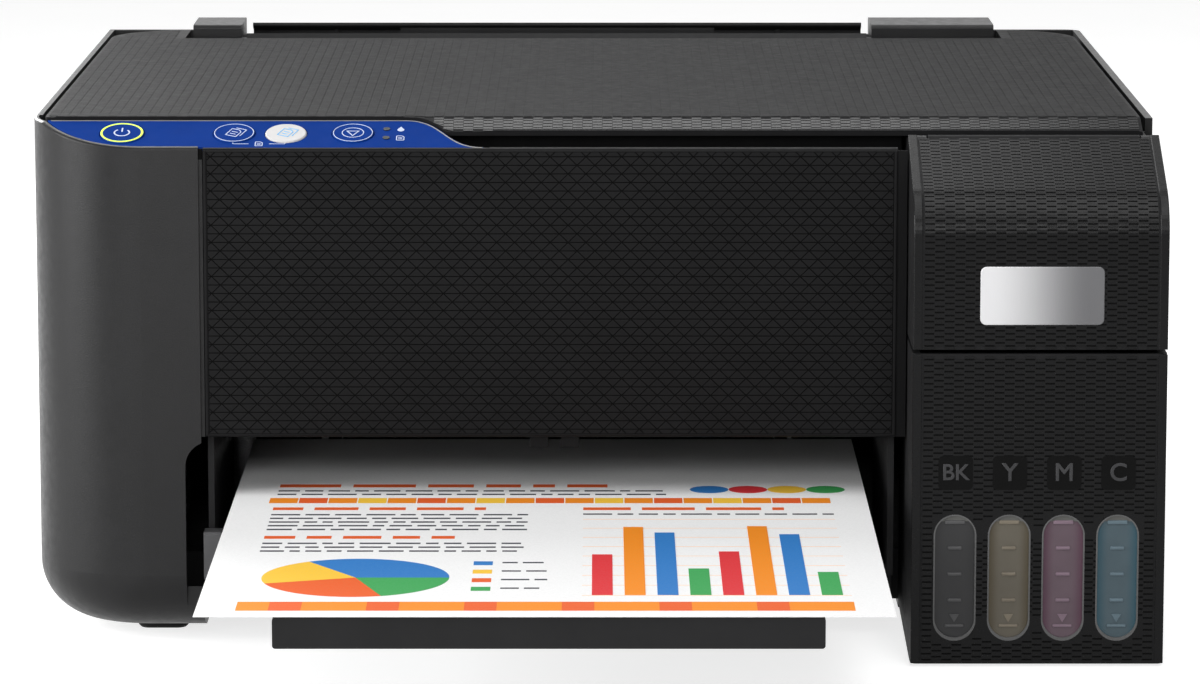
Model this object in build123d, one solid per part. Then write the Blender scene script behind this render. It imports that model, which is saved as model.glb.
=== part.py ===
"""Inkjet printer with a flatbed scanner, a rear paper feed and four refillable ink tanks.

Millimetres, +Z up. X runs to the right and Y to the back, seen from the front. The origin is
the middle of the footprint, at the level of the feet.
"""
from build123d import *
import math
import os

# Overall size
WIDTH = 375.0
DEPTH = 347.0
HEIGHT = 179.0
SHEET_REACH = 160.0  # printed sheet in front of the tank unit
WALL = 2.5
SKIN = 1.2
GAP = 0.5  # between pieces that move past each other
SEAM = 0.3  # between pieces of one body that don't touch
FIT = 0.05  # radial clearance of a pin or shaft

LEFT_X = -WIDTH / 2
RIGHT_X = WIDTH / 2
FRONT_Y = (SHEET_REACH - DEPTH) / 2  # front plane of the tank unit
REAR_Y = FRONT_Y + DEPTH

# Casing
FOOT_H = 4.0
FOOT_SIZE = 17.0
PANEL_Y = FRONT_Y + 31.0  # front plane of the panel and the left casing
CASE_IN_X = LEFT_X + 57.4  # inner edge of the left casing
CASE_CORNER_R = 38.0
CASE_BOTTOM_R = 20.0
CASE_RIM_Z = 174.2
CASE_FRONT_RIM_Z = 167.8
RIM_T = 1.5  # rim round the control panel
RIM_SOFT = 0.9
TOE_IN = 5.4  # front wall cut back beside the bay
TOE_R = 8.6
TOE_DROP = 10.0
BASE_Z = FOOT_H + WALL
BASE_T = 2.5
BASE_TOP = BASE_Z + BASE_T
BASE_WALL_H = 15.0

# Front panel and output bay
TANK_X0 = RIGHT_X - 83.0  # left side of the tank unit
PANEL_X0 = CASE_IN_X + 1.6
PANEL_X1 = TANK_X0 - 3.8
PANEL_Z0 = 71.0
PANEL_T = 3.0
LINER_T = 2.0
TONGUE_IN = 1.2  # tongues that close the seams beside the panel, behind its face
LINER_Y = PANEL_Y + 9.0
SHELF_Z = 162.0
SHELF_Y = PANEL_Y + 19.0

# Paper path
PATH_X = (PANEL_X0 + PANEL_X1) / 2 - 0.1
SHEET_W = WIDTH - 165.0
SHEET_L = 297.0
SHEET_T = 0.25
SHEET_Z = 51.0
TRAY_W = SHEET_W - 44.5
TRAY_H = 9.5
TRAY_WALL = 2.0
TRAY_L = 182.0
TRAY_TRAVEL = 108.0
EXT_L = 100.0
EXT_TRAVEL = 80.0
LIP_T = 4.0

# Tank unit
TANK_D = 75.0
TANK_Z0 = 1.0
TANK_SPLIT_Z = 104.2
COVER_SPLIT = 1.4
COVER_D = 60.0
COVER_BEND_R = 16.0
COVER_PIN_Y = FRONT_Y + 40.0
COVER_PIN_Z = 168.5
COVER_KNUCKLE_R = 2.6
COVER_PIN_R = 1.2
COVER_HEEL = 2.6  # the cover's rear corners clear the housing as it swings
COVER_HEEL_D = 9.0
WINDOW_W = 13.5
WINDOW_Z0 = 8.0
WINDOW_Z1 = 49.7
INK_PITCH = 17.75
INK_W = 16.4
INK_D = 58.0
INK_Z1 = 84.0
NECK_R = 5.0
NECK_H = 7.0
CAP_R = 7.4
CAP_HINGE_R = 3.0
CAP_PIN_R = 1.2
INK_NAMES = ("black", "yellow", "magenta", "cyan")

# Scanner unit and lid
SCAN_SIDE_GAP = 0.6
SCAN_Z0 = 150.0
SCAN_TOP = 169.5
SCAN_REAR_Y = REAR_Y - 47.0
SCAN_STEP_X = PANEL_X0 + 94.5  # right end of the control panel
SCAN_MID_Y = PANEL_Y + 21.0
SCAN_RIGHT_Y = FRONT_Y + 66.0
GLASS_W = WIDTH - 71.0
GLASS_L = 220.0
GLASS_T = 3.0
GLASS_X = -6.0
GLASS_Y = SCAN_REAR_Y - GLASS_L / 2 - 8.0
LID_TOP = 175.5
LID_Z0 = 170.5
LID_FRONT_Y = FRONT_Y + 42.8
LID_FRONT_Z = 171.9
LID_CREASE_Y = FRONT_Y + 52.8
LID_SIDE = 5.0  # casing beside the lid
LID_HALF_W = RIGHT_X - LID_SIDE
LID_CORNER = 4.0  # front left corner, trimmed to the casing's round
LID_REAR_Y = REAR_Y - 45.0
LID_HORN_Y = REAR_Y - 15.0  # rear corners reach round the paper feed
LID_HORN_R = 28.0
LID_HORN_X = LID_HALF_W - LID_HORN_R
PAD_IN = 4.0  # pad inside the glass, all round
PAD_W = GLASS_W - 2 * PAD_IN
PAD_L = GLASS_L - 2 * PAD_IN
PAD_T = 3.0
CONTROL_BACK_Y = FRONT_Y + 52.2
CONTROL_FRONT_Z = CASE_FRONT_RIM_Z + 0.1
CONTROL_BACK_Z = 174.5
CONTROL_S_X = SCAN_STEP_X - 28.0
CONTROL_BASE_Z = 164.0
BUTTON_R = 6.85
POWER_R = 7.3
BUTTON_H = 2.9
BUTTON_WELL = 2.6  # room for the flange under the panel
BUTTON_TRAVEL = 1.0
BUTTON_FLANGE = 0.7
CONTROL_RIB_XS = (LEFT_X + 50.5, CONTROL_S_X - 4.0)
BUTTON_XS = {"power_button": LEFT_X + 31.5, "black_copy_button": LEFT_X + 68.7,
             "colour_copy_button": LEFT_X + 85.9, "stop_button": CONTROL_S_X - 17.4}
SCAN_PIN_Y = REAR_Y - 29.0
SCAN_PIN_Z = 157.0
LID_PIN_Y = LID_HORN_Y - 4.0
LID_PIN_Z = 167.0
HINGE_PIN_R = 2.2
HINGE_BOSS_R = 4.4
EAR_X = LID_HORN_X + 2.5  # inner face of the inner hinge ear
EAR_T = 3.0
LID_ARM_W = 6.0

# Print mechanism
PLATE_T = 2.0
PLATE_X1 = RIGHT_X - 9.5
PLATE_TOP = 135.0
GEAR_MODULE = 1.0
FEED_TEETH = 36
IDLER_TEETH = 18
PINION_TEETH = 12
GEAR_T = 4.0
FEED_Y = FRONT_Y + 204.0
FEED_Z = 59.5
EJECT_Y = FEED_Y - GEAR_MODULE * (FEED_TEETH + IDLER_TEETH)
PLATE_Y0 = EJECT_Y - 12.0
PLATE_Y1 = FEED_Y + 58.0
ROLLER_R = 6.0
SHAFT_R = 3.0
RAIL_Y = FEED_Y
RAIL_D = 9.5
RAIL_Z0 = 92.0
RAIL_Z1 = 132.0
RAIL_T = 1.5
MOTOR_R = 13.0
PULLEY_R = 6.0
BELT_Y = RAIL_Y + 24.0
BELT_Z0 = 134.5
BELT_W = 5.0
BELT_T = 1.0
CARRIAGE_HOME_X = RIGHT_X - 41.5
CARRIAGE_W = 52.0
CARRIAGE_Y0 = EJECT_Y + 6.0
CARRIAGE_Y1 = RAIL_Y - 4.0
CARRIAGE_Z0 = 70.0
CARRIAGE_Z1 = 124.0
HEAD_H = 3.0
PLATEN_Z1 = 64.5

# Rear paper feed
LEAN = 25.0
FEEDER_TOP_Y = REAR_Y - 6.0
FEEDER_TOP_Z = 174.5
FEEDER_HALF_W = SHEET_W / 2 + 12.5
FEEDER_END_X = LID_HORN_X - 2.0
SUPPORT_L = 104.0
SUPPORT_T = 3.0
SUPPORT_EXT_L = 92.0
SUPPORT_EXT_T = 2.0
CHANNEL = 14.0
PICKUP_R = 10.0
GUIDE_L = 46.0
FEEDER_Z0 = 140.0

# Placing, from the sizes above
INLET_X = LEFT_X + 35.5
INLET_W = 22.0
INLET_H = 17.0
INLET_Z = 72.0
INLET_D = 15.0
SUPPLY_L = 83.0
SUPPLY_H = 47.0
USB_X = RIGHT_X - 59.5
USB_W = 15.0
USB_H = 14.0
USB_Z = 66.0
USB_D = 17.0
BRACKET_X = EAR_X + 2 * EAR_T + LID_ARM_W + 2 * GAP + GAP
BRACKET_T = 4.0
BOARD_X = LEFT_X + WALL + 2.0
BOARD_T = 1.6
BOARD_Y0 = FRONT_Y + 90.0
BOARD_Y1 = FRONT_Y + 215.0
BOARD_Z0 = 40.0
BOARD_Z1 = 125.0
STANDOFF_IN = 6.0
REAR_RIBS = 6
FOOT_IN = 41.6  # feet from the casing's sides
COVER_ARM_T = 3.0
COVER_ARM_X0 = TANK_X0 + WALL + GAP
COVER_ARM_X1 = RIGHT_X - WALL - GAP - COVER_ARM_T
BASE_X0 = LEFT_X + 21.5
BASE_X1 = RIGHT_X - WALL - SEAM
BASE_FRONT_Y = FRONT_Y + 50.0
BASE_LEFT_Y = FRONT_Y + 72.0
TRAY_X0 = PATH_X + 1.2 - TRAY_W / 2
TRAY_X1 = TRAY_X0 + TRAY_W
TRAY_Z1 = SHEET_Z - GAP
TRAY_Z0 = TRAY_Z1 - TRAY_H
RUNNER_Y1 = FRONT_Y + 226.0
BASE_RIB_YS = (FRONT_Y + 95.0, RUNNER_Y1 + 9.0, REAR_Y - 57.0)
BASE_RIB_IN = 12.0
BASE_RIB_T = 2.0
BASE_RIB_H = 10.0
INK_CENTRE_X = (TANK_X0 + RIGHT_X) / 2 - 0.6
INK_FRONT_Y = FRONT_Y + WALL + SEAM
INK_FLOOR_Z = TANK_Z0 + 5.0 + WALL
WINDOW_FLOOR_Z = INK_FLOOR_Z + 0.5
NECK_Y = FRONT_Y + 22.0
CAP_HINGE_Y = FRONT_Y + 46.0
CAP_HINGE_Z = INK_Z1 + CAP_HINGE_R + 0.2
CAP_TOP_Z = INK_Z1 + NECK_H + 3.0
COVER_SLOPE = 25.0
COVER_Z0 = TANK_SPLIT_Z + COVER_SPLIT
SCAN_X0 = LEFT_X + WALL + SCAN_SIDE_GAP
SCAN_X1 = -SCAN_X0
SCAN_FRONT_Y = PANEL_Y + PANEL_T + 0.8
SCAN_FLOOR_T = 2.5
LEDGE = 4.0
RIM_CELLS = 3
LID_PIN_R = 1.6
LID_BOSS_R = 3.2
SCAN_BAR_W = 18.0
SCAN_BAR_X = GLASS_X - GLASS_W / 2 + LEDGE + 2.0
SCAN_BAR_TRAVEL = GLASS_W - 32.0
SCAN_ROD_R = 2.5
SCAN_ROD_Z = SCAN_Z0 + SCAN_FLOOR_T + 4.5
CONTROL_FRONT_Y = PANEL_Y + RIM_T + 0.4
CONTROL_ANGLE = math.degrees(math.atan2(CONTROL_BACK_Z - CONTROL_FRONT_Z, CONTROL_BACK_Y - CONTROL_FRONT_Y))
GEAR_X1 = PANEL_X0 - 2.0
GEAR_X0 = GEAR_X1 - GEAR_T
BACKLASH = 0.8
PRESSURE = math.tan(math.radians(20.0))
ADDENDUM = 0.85
DEDENDUM = 1.15
GEAR_IDLER_Y = (FEED_Y + EJECT_Y) / 2
PINION_Y = FEED_Y + GEAR_MODULE * (FEED_TEETH + PINION_TEETH) / 2
MOTOR_SHAFT_R = 1.5
STUB_R = 2.5
PULLEY_IN = 17.5  # pulley axes from the frame plates
MOTOR_PULLEY_X = PANEL_X0 + PULLEY_IN
IDLER_PULLEY_X = PLATE_X1 - 14.0
RAIL_X0 = PANEL_X0 + PLATE_T
PAN_L = 32.0
PAN_Y1 = BELT_Y + MOTOR_R + 3.0
FLANGE_T = 1.2
FLANGE_R = PULLEY_R + 1.4
PULLEY_Z0 = RAIL_Z1 + 0.6
PULLEY_Z1 = BELT_Z0 + BELT_W + 1.6
BELT_IN_R = PULLEY_R + 0.3
LEAN_SIN = math.sin(math.radians(LEAN))
LEAN_COS = math.cos(math.radians(LEAN))
INCLINE = Plane(origin=(PATH_X, FEEDER_TOP_Y, FEEDER_TOP_Z), x_dir=(1, 0, 0), z_dir=(0, -LEAN_COS, LEAN_SIN))
CHUTE_L = 116.0
CHUTE_T = 2.5
SUPPORT_TRAVEL = 85.0
SUPPORT_EXT_TRAVEL = 74.0
SUPPORT_EXT_W = 120.0
SUPPORT_LIP = 5.0
SUPPORT_RIB_X = FEEDER_HALF_W - 32.5
PICKUP_T = -92.0  # along the chute, down from its top
PICKUP_H = 14.5  # out of the chute's back
FEED_SWEEP_R = 17.2  # the feed's front clears the scanner unit as it swings
FEEDER_FRONT_Y = SCAN_PIN_Y - 16.0
MIDDLE_X0 = PATH_X - FEEDER_HALF_W - CHUTE_T
MIDDLE_X1 = PATH_X + FEEDER_HALF_W + CHUTE_T
GUIDE_W = 9.0
GUIDE_TRAVEL = 55.0
TRAY_Y0 = FRONT_Y - 72.0
LIP_Y = FRONT_Y - SHEET_REACH + 1.5


def block(x0, x1, y0, y1, z0, z1):
    """Box between two opposite corners."""
    return Pos((x0 + x1) / 2, (y0 + y1) / 2, (z0 + z1) / 2) * Box(x1 - x0, y1 - y0, z1 - z0)


def rod_x(x0, x1, y, z, radius):
    """Round bar along X."""
    return Pos((x0 + x1) / 2, y, z) * Rot(0, 90, 0) * Cylinder(radius, x1 - x0)


def rod_y(x, y0, y1, z, radius):
    """Round bar along Y."""
    return Pos(x, (y0 + y1) / 2, z) * Rot(90, 0, 0) * Cylinder(radius, y1 - y0)


def rod_z(x, y, z0, z1, radius):
    """Round bar along Z."""
    return Pos(x, y, (z0 + z1) / 2) * Cylinder(radius, z1 - z0)


def side_plane(x):
    """Plane whose own axes are Y and Z, at one X."""
    return Plane(origin=(x, 0, 0), x_dir=(0, 1, 0), z_dir=(1, 0, 0))


def side_prism(points, x0, x1):
    """Side outline of (y, z) points, drawn out along X."""
    return extrude(side_plane(x0) * make_face(Polyline(*points, close=True)), x1 - x0)


def front_prism(face, y0, y1):
    """Front outline in x and z, drawn out along +Y."""
    plane = Plane(origin=(0, y0, 0), x_dir=(1, 0, 0), z_dir=(0, -1, 0))
    return extrude(plane * face, -(y1 - y0))


def join(*shapes):
    """One solid of several touching ones."""
    whole = shapes[0]
    for shape in shapes[1:]:
        whole = whole + shape
    return whole


def near_x(shape, x):
    """Edges of a shape that lie in the plane of one X."""
    return shape.edges().filter_by_position(Axis.X, x - 0.01, x + 0.01)


def soften_rim(form):
    """Left casing's form with its upper outer edges rounded."""
    tops = [face for face in form.faces() if face.normal_at().Z > 0.5]
    outer = [edge for face in tops for edge in face.edges()
             if edge.center().X < CASE_IN_X - 1.0 and edge.center().Y < REAR_Y - 1.0]
    shared = [edge for edge in outer if sum(edge in face.edges() for face in tops) == 1]
    return fillet(shared, RIM_SOFT)


def left_form(inset, top):
    """Rounded form of the left casing, drawn in by an inset on its closed sides."""
    x0 = LEFT_X + inset
    y0 = PANEL_Y + inset
    y1 = REAR_Y - inset
    z0 = FOOT_H + inset
    x1 = CASE_IN_X + (1.0 if inset else 0.0)
    outline = [(y0, z0), (y1, z0), (y1, CASE_RIM_Z + top), (CONTROL_BACK_Y, CASE_RIM_Z + top),
               (y0, CASE_FRONT_RIM_Z + top)]
    form = side_prism(outline, x0, x1)
    corner = near_x(form, x0).filter_by(Axis.Z).sort_by(Axis.Y)[0]
    form = fillet(corner, CASE_CORNER_R - inset)
    floor = form.faces().sort_by(Axis.Z)[0]
    rear = floor.edges().filter_by_position(Axis.Y, y1 - 0.01, y1 + 0.01)
    inner = floor.edges().filter_by_position(Axis.X, x1 - 0.01, x1 + 0.01)
    soft = [edge for edge in floor.edges() if edge not in rear and edge not in inner]
    form = fillet(soft, CASE_BOTTOM_R - inset)
    return form if inset else soften_rim(form)


def hinge_bracket(x0, x1):
    """Bracket on a casing's rear wall that carries the scanner unit's hinge pin."""
    wall_y = REAR_Y - WALL
    low = SCAN_PIN_Z - 22.0
    web = side_prism([(SCAN_PIN_Y - HINGE_BOSS_R, SCAN_PIN_Z), (SCAN_PIN_Y + HINGE_BOSS_R, SCAN_PIN_Z),
                      (SCAN_PIN_Y + 8.0, SCAN_PIN_Z - 11.0), (wall_y, low), (wall_y, low - 12.0)], x0, x1)
    boss = rod_x(x0, x1, SCAN_PIN_Y, SCAN_PIN_Z, HINGE_BOSS_R)
    bore = rod_x(x0 - 1.0, x1 + 1.0, SCAN_PIN_Y, SCAN_PIN_Z, HINGE_PIN_R + FIT)
    return web + boss - bore


def vent_slots(x0, x1, count, z0, z1):
    """Row of upright slots through a rear wall."""
    pitch = (x1 - x0) / count
    return [block(x0 + pitch * (i + 0.25), x0 + pitch * (i + 0.75), REAR_Y - 2 * WALL, REAR_Y + 1.0, z0, z1)
            for i in range(count)]


def feeder_notch():
    """Room in the casings' rear walls for the paper feed."""
    reach = FEEDER_END_X + GAP
    return block(-reach, reach, REAR_Y - WALL - 1.0, REAR_Y + 1.0, FEEDER_Z0, CASE_RIM_Z + 1.0)


def make_left_casing():
    """Left casing: rounded shell, open above and to the middle, thinner round the control panel."""
    shell = left_form(0.0, 0.0) - left_form(WALL, 10.0)
    rebate = block(LEFT_X, CASE_IN_X + 2.0, PANEL_Y, PANEL_Y + CASE_CORNER_R + 1.0, CONTROL_BASE_Z, HEIGHT)
    shell = shell - (left_form(RIM_T, 10.0) & rebate)
    toe_x = CASE_IN_X - TOE_IN
    toe_z = PANEL_Z0 - TOE_DROP
    toe = block(toe_x, CASE_IN_X + 1.0, PANEL_Y - 1.0, PANEL_Y + WALL + 0.5, 0, toe_z)
    arch = front_prism(Pos(toe_x + TOE_R, toe_z) * Circle(TOE_R), PANEL_Y - 1.0, PANEL_Y + WALL + 0.5)
    shell = shell - toe - arch
    tongue = block(CASE_IN_X - 1.0, PANEL_X0 - SEAM, PANEL_Y + TONGUE_IN, PANEL_Y + WALL, PANEL_Z0,
                   CONTROL_BASE_Z)
    shell = shell + tongue - feeder_notch() + hinge_bracket(-BRACKET_X - BRACKET_T, -BRACKET_X)
    for y in (BOARD_Y0 + STANDOFF_IN, BOARD_Y1 - STANDOFF_IN):
        for z in (BOARD_Z0 + STANDOFF_IN, BOARD_Z1 - STANDOFF_IN):
            shell = shell + rod_x(LEFT_X + WALL - 0.5, BOARD_X, y, z, 3.0)
    inlet = block(INLET_X - INLET_W / 2 - SEAM, INLET_X + INLET_W / 2 + SEAM, REAR_Y - 2 * WALL,
                  REAR_Y + 1, INLET_Z - INLET_H / 2 - SEAM, INLET_Z + INLET_H / 2 + SEAM)
    shell = shell - inlet
    for slot in vent_slots(INLET_X - 20.0, INLET_X + 16.0, 8, 96.0, 124.0):
        shell = shell - slot
    return shell


def right_outline(inset, top):
    """Side outline of the right casing, which steps forward above the tank housing."""
    low_y = FRONT_Y + TANK_D + inset
    high_y = FRONT_Y + COVER_D + 1.0 + inset
    step_z = TANK_SPLIT_Z + COVER_SPLIT + inset
    rear = REAR_Y - inset
    return [(low_y, FOOT_H + inset), (rear, FOOT_H + inset), (rear, CASE_RIM_Z + top),
            (high_y, CASE_RIM_Z + top), (high_y, step_z), (low_y, step_z)]


def cover_arm(x0, x1):
    """Arm of the right casing that carries the tank cover's pin."""
    wall_y = FRONT_Y + COVER_D + 1.0
    arm = side_prism([(COVER_PIN_Y, COVER_PIN_Z - COVER_KNUCKLE_R), (wall_y, COVER_PIN_Z - 16.0),
                      (wall_y, LID_Z0 - 1.0), (COVER_PIN_Y + 4.0, LID_Z0 - 1.0),
                      (COVER_PIN_Y, COVER_PIN_Z + 1.0)], x0, x1)
    boss = rod_x(x0, x1, COVER_PIN_Y, COVER_PIN_Z, COVER_KNUCKLE_R - 0.2)
    bore = rod_x(x0 - 1.0, x1 + 1.0, COVER_PIN_Y, COVER_PIN_Z, COVER_PIN_R + FIT)
    return arm + boss - bore


def make_right_casing():
    """Right casing: shell behind the tank unit, open above and to the middle."""
    outer = side_prism(right_outline(0.0, 0.0), TANK_X0, RIGHT_X)
    rear_edges = near_x(outer, RIGHT_X).filter_by(Axis.Z).sort_by(Axis.Y)
    outer = fillet(rear_edges[-1], 6.0)
    inner = side_prism(right_outline(WALL, 10.0), TANK_X0 - 1.0, RIGHT_X - WALL)
    shell = outer - inner
    under_lid = block(TANK_X0 - 1.0, RIGHT_X - WALL, FRONT_Y + COVER_D, SCAN_RIGHT_Y, SCAN_TOP,
                      CASE_RIM_Z + 1)
    shell = shell - under_lid - feeder_notch()
    shell = shell + hinge_bracket(BRACKET_X, BRACKET_X + BRACKET_T)
    for x in (COVER_ARM_X0, COVER_ARM_X1):
        shell = shell + cover_arm(x, x + COVER_ARM_T)
    usb = block(USB_X - USB_W / 2 - SEAM, USB_X + USB_W / 2 + SEAM, REAR_Y - 2 * WALL, REAR_Y + 1,
                USB_Z - USB_H / 2 - SEAM, USB_Z + USB_H / 2 + SEAM)
    shell = shell - usb
    for slot in vent_slots(USB_X - 12.0, USB_X + 42.0, 12, 92.0, 120.0):
        shell = shell - slot
    return shell


def runner(side):
    """Runner that holds one edge of the output tray; side is -1 or 1."""
    edge = TRAY_X0 if side < 0 else TRAY_X1
    web = sorted((edge + side * GAP, edge + side * (GAP + 2.5)))
    ledge = sorted((edge + side * (GAP + 2.5), edge - side * 4.0))
    upright = block(web[0], web[1], BASE_FRONT_Y, RUNNER_Y1, BASE_TOP, TRAY_Z1 - 1.5)
    shelf = block(ledge[0], ledge[1], BASE_FRONT_Y, RUNNER_Y1, TRAY_Z0 - GAP - 2.0, TRAY_Z0 - GAP)
    return upright + shelf


def make_base_frame():
    """Base pan with its outer wall, stiffening ribs, tray runners and bay liners."""
    rear = REAR_Y - WALL
    right_y = FRONT_Y + TANK_D + WALL
    outline = [(BASE_X0, BASE_LEFT_Y), (PANEL_X0, BASE_LEFT_Y), (PANEL_X0, BASE_FRONT_Y),
               (PANEL_X1, BASE_FRONT_Y), (PANEL_X1, right_y), (BASE_X1, right_y), (BASE_X1, rear),
               (BASE_X0, rear)]
    pan_face = make_face(Polyline(*outline, close=True))
    pan = extrude(Pos(0, 0, BASE_Z) * pan_face, BASE_T + BASE_WALL_H)
    well = extrude(Pos(0, 0, BASE_TOP) * offset(pan_face, -WALL), BASE_WALL_H + 1.0)
    base = pan - well
    for y in BASE_RIB_YS:
        base = base + block(TRAY_X0 + BASE_RIB_IN, TRAY_X1 - BASE_RIB_IN, y, y + BASE_RIB_T, BASE_TOP - 0.5,
                            BASE_TOP + BASE_RIB_H)
    for x in (TRAY_X0 + TRAY_W * share for share in (0.29, 0.7)):
        base = base + block(x, x + BASE_RIB_T, BASE_RIB_YS[0], BASE_RIB_YS[-1] + BASE_RIB_T, BASE_TOP - 0.5,
                            BASE_TOP + BASE_RIB_H)
    for side in (-1, 1):
        base = base + runner(side)
    for x in (PANEL_X0, PANEL_X1 - LINER_T):
        base = base + block(x, x + LINER_T, BASE_FRONT_Y, PLATE_Y0, BASE_Z, PANEL_Z0)
        base = base + block(x, x + LINER_T, LINER_Y, BASE_FRONT_Y, BASE_Z + 16.0, PANEL_Z0)
    return base


def make_rear_cover():
    """Rear cover of the middle: ribbed plate under the paper feed."""
    x0 = CASE_IN_X + SEAM
    x1 = TANK_X0 - SEAM
    plate = block(x0, x1, REAR_Y - WALL, REAR_Y, FOOT_H, FEEDER_Z0)
    grip = block(PATH_X - 45.0, PATH_X + 45.0, REAR_Y - WALL - 1, REAR_Y + 1, 26.0, 40.0)
    plate = plate - fillet(grip.edges().filter_by(Axis.Y), 4.0)
    for i in range(REAR_RIBS):
        x = x0 + (x1 - x0) * (i + 0.5) / REAR_RIBS
        plate = plate + block(x - 0.8, x + 0.8, REAR_Y - WALL - 3.0, REAR_Y - WALL, 48.0, FEEDER_Z0)
    return plate


def make_front_panel():
    """Front panel with its turned-in edges, the finger shelf and the exit tabs."""
    z1 = CASE_FRONT_RIM_Z
    face = block(PANEL_X0, PANEL_X1, PANEL_Y, PANEL_Y + PANEL_T, PANEL_Z0, z1)
    long_edges = face.edges().filter_by(Axis.X).filter_by_position(Axis.Y, PANEL_Y - 0.01, PANEL_Y + 0.01)
    face = fillet(long_edges, 1.0)
    back = PANEL_Y + PANEL_T
    face = face - block(PANEL_X0 - 1.0, SCAN_STEP_X, PANEL_Y + RIM_T, back + 1.0, CONTROL_BASE_Z, z1 + 1.0)
    parts = [face, block(PANEL_X0, PANEL_X1, back, LINER_Y + 8.0, PANEL_Z0, PANEL_Z0 + 2.0),
             block(SCAN_STEP_X + 1.0, PANEL_X1, back, SHELF_Y, SHELF_Z, SHELF_Z + 2.0)]
    for x in (PANEL_X0, PANEL_X1 - LINER_T):
        parts.append(block(x, x + LINER_T, back, LINER_Y + 30.0, PANEL_Z0, SCAN_Z0 - 1.0))
    parts.append(block(PANEL_X1 - 1.0, TANK_X0 - GAP, PANEL_Y + TONGUE_IN, back, PANEL_Z0, z1 - 1.0))
    for x in (PATH_X - 50.0, PATH_X + 5.0, PATH_X + 60.0):
        parts.append(block(x, x + 1.5, back, back + 7.0, PANEL_Z0 + 2.0, SCAN_Z0 - 1.0))
    for x in (PATH_X - 6.8, PATH_X + 3.5):
        parts.append(block(x, x + 6.0, back + 1.0, back + 4.0, PANEL_Z0 - 4.0, PANEL_Z0))
    return join(*parts)


def make_feet():
    """Four rubber feet."""
    feet = []
    left, right, rear = LEFT_X + FOOT_IN, RIGHT_X - FOOT_IN, REAR_Y - 25.0
    for x, y in ((left, FRONT_Y + 68.0), (right, FRONT_Y + 92.0), (left, rear), (right, rear)):
        pad = Pos(x, y, FOOT_H / 2) * Box(FOOT_SIZE, FOOT_SIZE, FOOT_H)
        pad = fillet(pad.edges().filter_by(Axis.Z), 4.0)
        feet.append(chamfer(pad.faces().sort_by(Axis.Z)[0].edges(), 0.8))
    return Compound(children=feet)


def make_bay_corner():
    """Grey corner guide at the left of the output bay, in front of the liner."""
    guide = block(PANEL_X0 - 1.2, PANEL_X0 + 4.6, PANEL_Y + 0.8, LINER_Y, BASE_Z + 16.0, BASE_Z + 32.0)
    return chamfer(guide.edges().filter_by(Axis.X).sort_by(Axis.Y)[0:2], 0.8)


def ink_x(index):
    """Middle of one ink tank, counted from the left."""
    return INK_CENTRE_X + (index - 1.5) * INK_PITCH


def capsule(x, shrink):
    """Upright ink window outline."""
    width = WINDOW_W - 2 * shrink
    height = WINDOW_Z1 - WINDOW_Z0 - 2 * shrink
    middle = WINDOW_FLOOR_Z + (WINDOW_Z1 - WINDOW_Z0) / 2
    return Pos(x, middle) * Rot(0, 0, 90) * SlotOverall(height, width)


def make_tank_housing():
    """Lower tank housing: open-topped box with four capsule windows."""
    rear = FRONT_Y + TANK_D
    outer = side_prism([(FRONT_Y, TANK_Z0), (FRONT_Y + 8.0, TANK_Z0), (rear, TANK_Z0 + 5.0),
                        (rear, TANK_SPLIT_Z), (FRONT_Y, TANK_SPLIT_Z)], TANK_X0, RIGHT_X)
    front_edges = outer.edges().filter_by(Axis.Z).sort_by(Axis.Y)[0:2]
    outer = fillet(front_edges, 2.0)
    well = block(TANK_X0 + WALL, RIGHT_X - WALL, FRONT_Y + WALL, rear - WALL, INK_FLOOR_Z, TANK_SPLIT_Z + 1.0)
    housing = outer - well
    for i in range(len(INK_NAMES)):
        housing = housing - front_prism(capsule(ink_x(i), 0.0), FRONT_Y - 1.0, FRONT_Y + WALL + 0.1)
    return housing


def make_ink_tank(index):
    """Ink tank with its window boss, filler neck and the lugs of its cap."""
    x = ink_x(index)
    body = block(x - INK_W / 2, x + INK_W / 2, INK_FRONT_Y, INK_FRONT_Y + INK_D, INK_FLOOR_Z, INK_Z1)
    body = fillet(body.edges().filter_by(Axis.Z), 1.5)
    boss = front_prism(capsule(x, 0.2), FRONT_Y + 0.5, INK_FRONT_Y + 0.5)
    neck = rod_z(x, NECK_Y, INK_Z1 - 0.5, INK_Z1 + NECK_H, NECK_R)
    tank = join(body, boss, neck)
    for side in (-1, 1):
        lug = block(x + side * 5.3 - 1.2, x + side * 5.3 + 1.2, CAP_HINGE_Y - 2.4, CAP_HINGE_Y + 2.4,
                    INK_Z1 - 0.5, CAP_HINGE_Z + 2.2)
        tank = tank + lug
    tank = tank + rod_x(x - 5.5, x + 5.5, CAP_HINGE_Y, CAP_HINGE_Z, CAP_PIN_R)
    return tank - rod_z(x, NECK_Y, INK_Z1 - 6.0, INK_Z1 + NECK_H + 1.0, NECK_R - 1.6)


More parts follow.
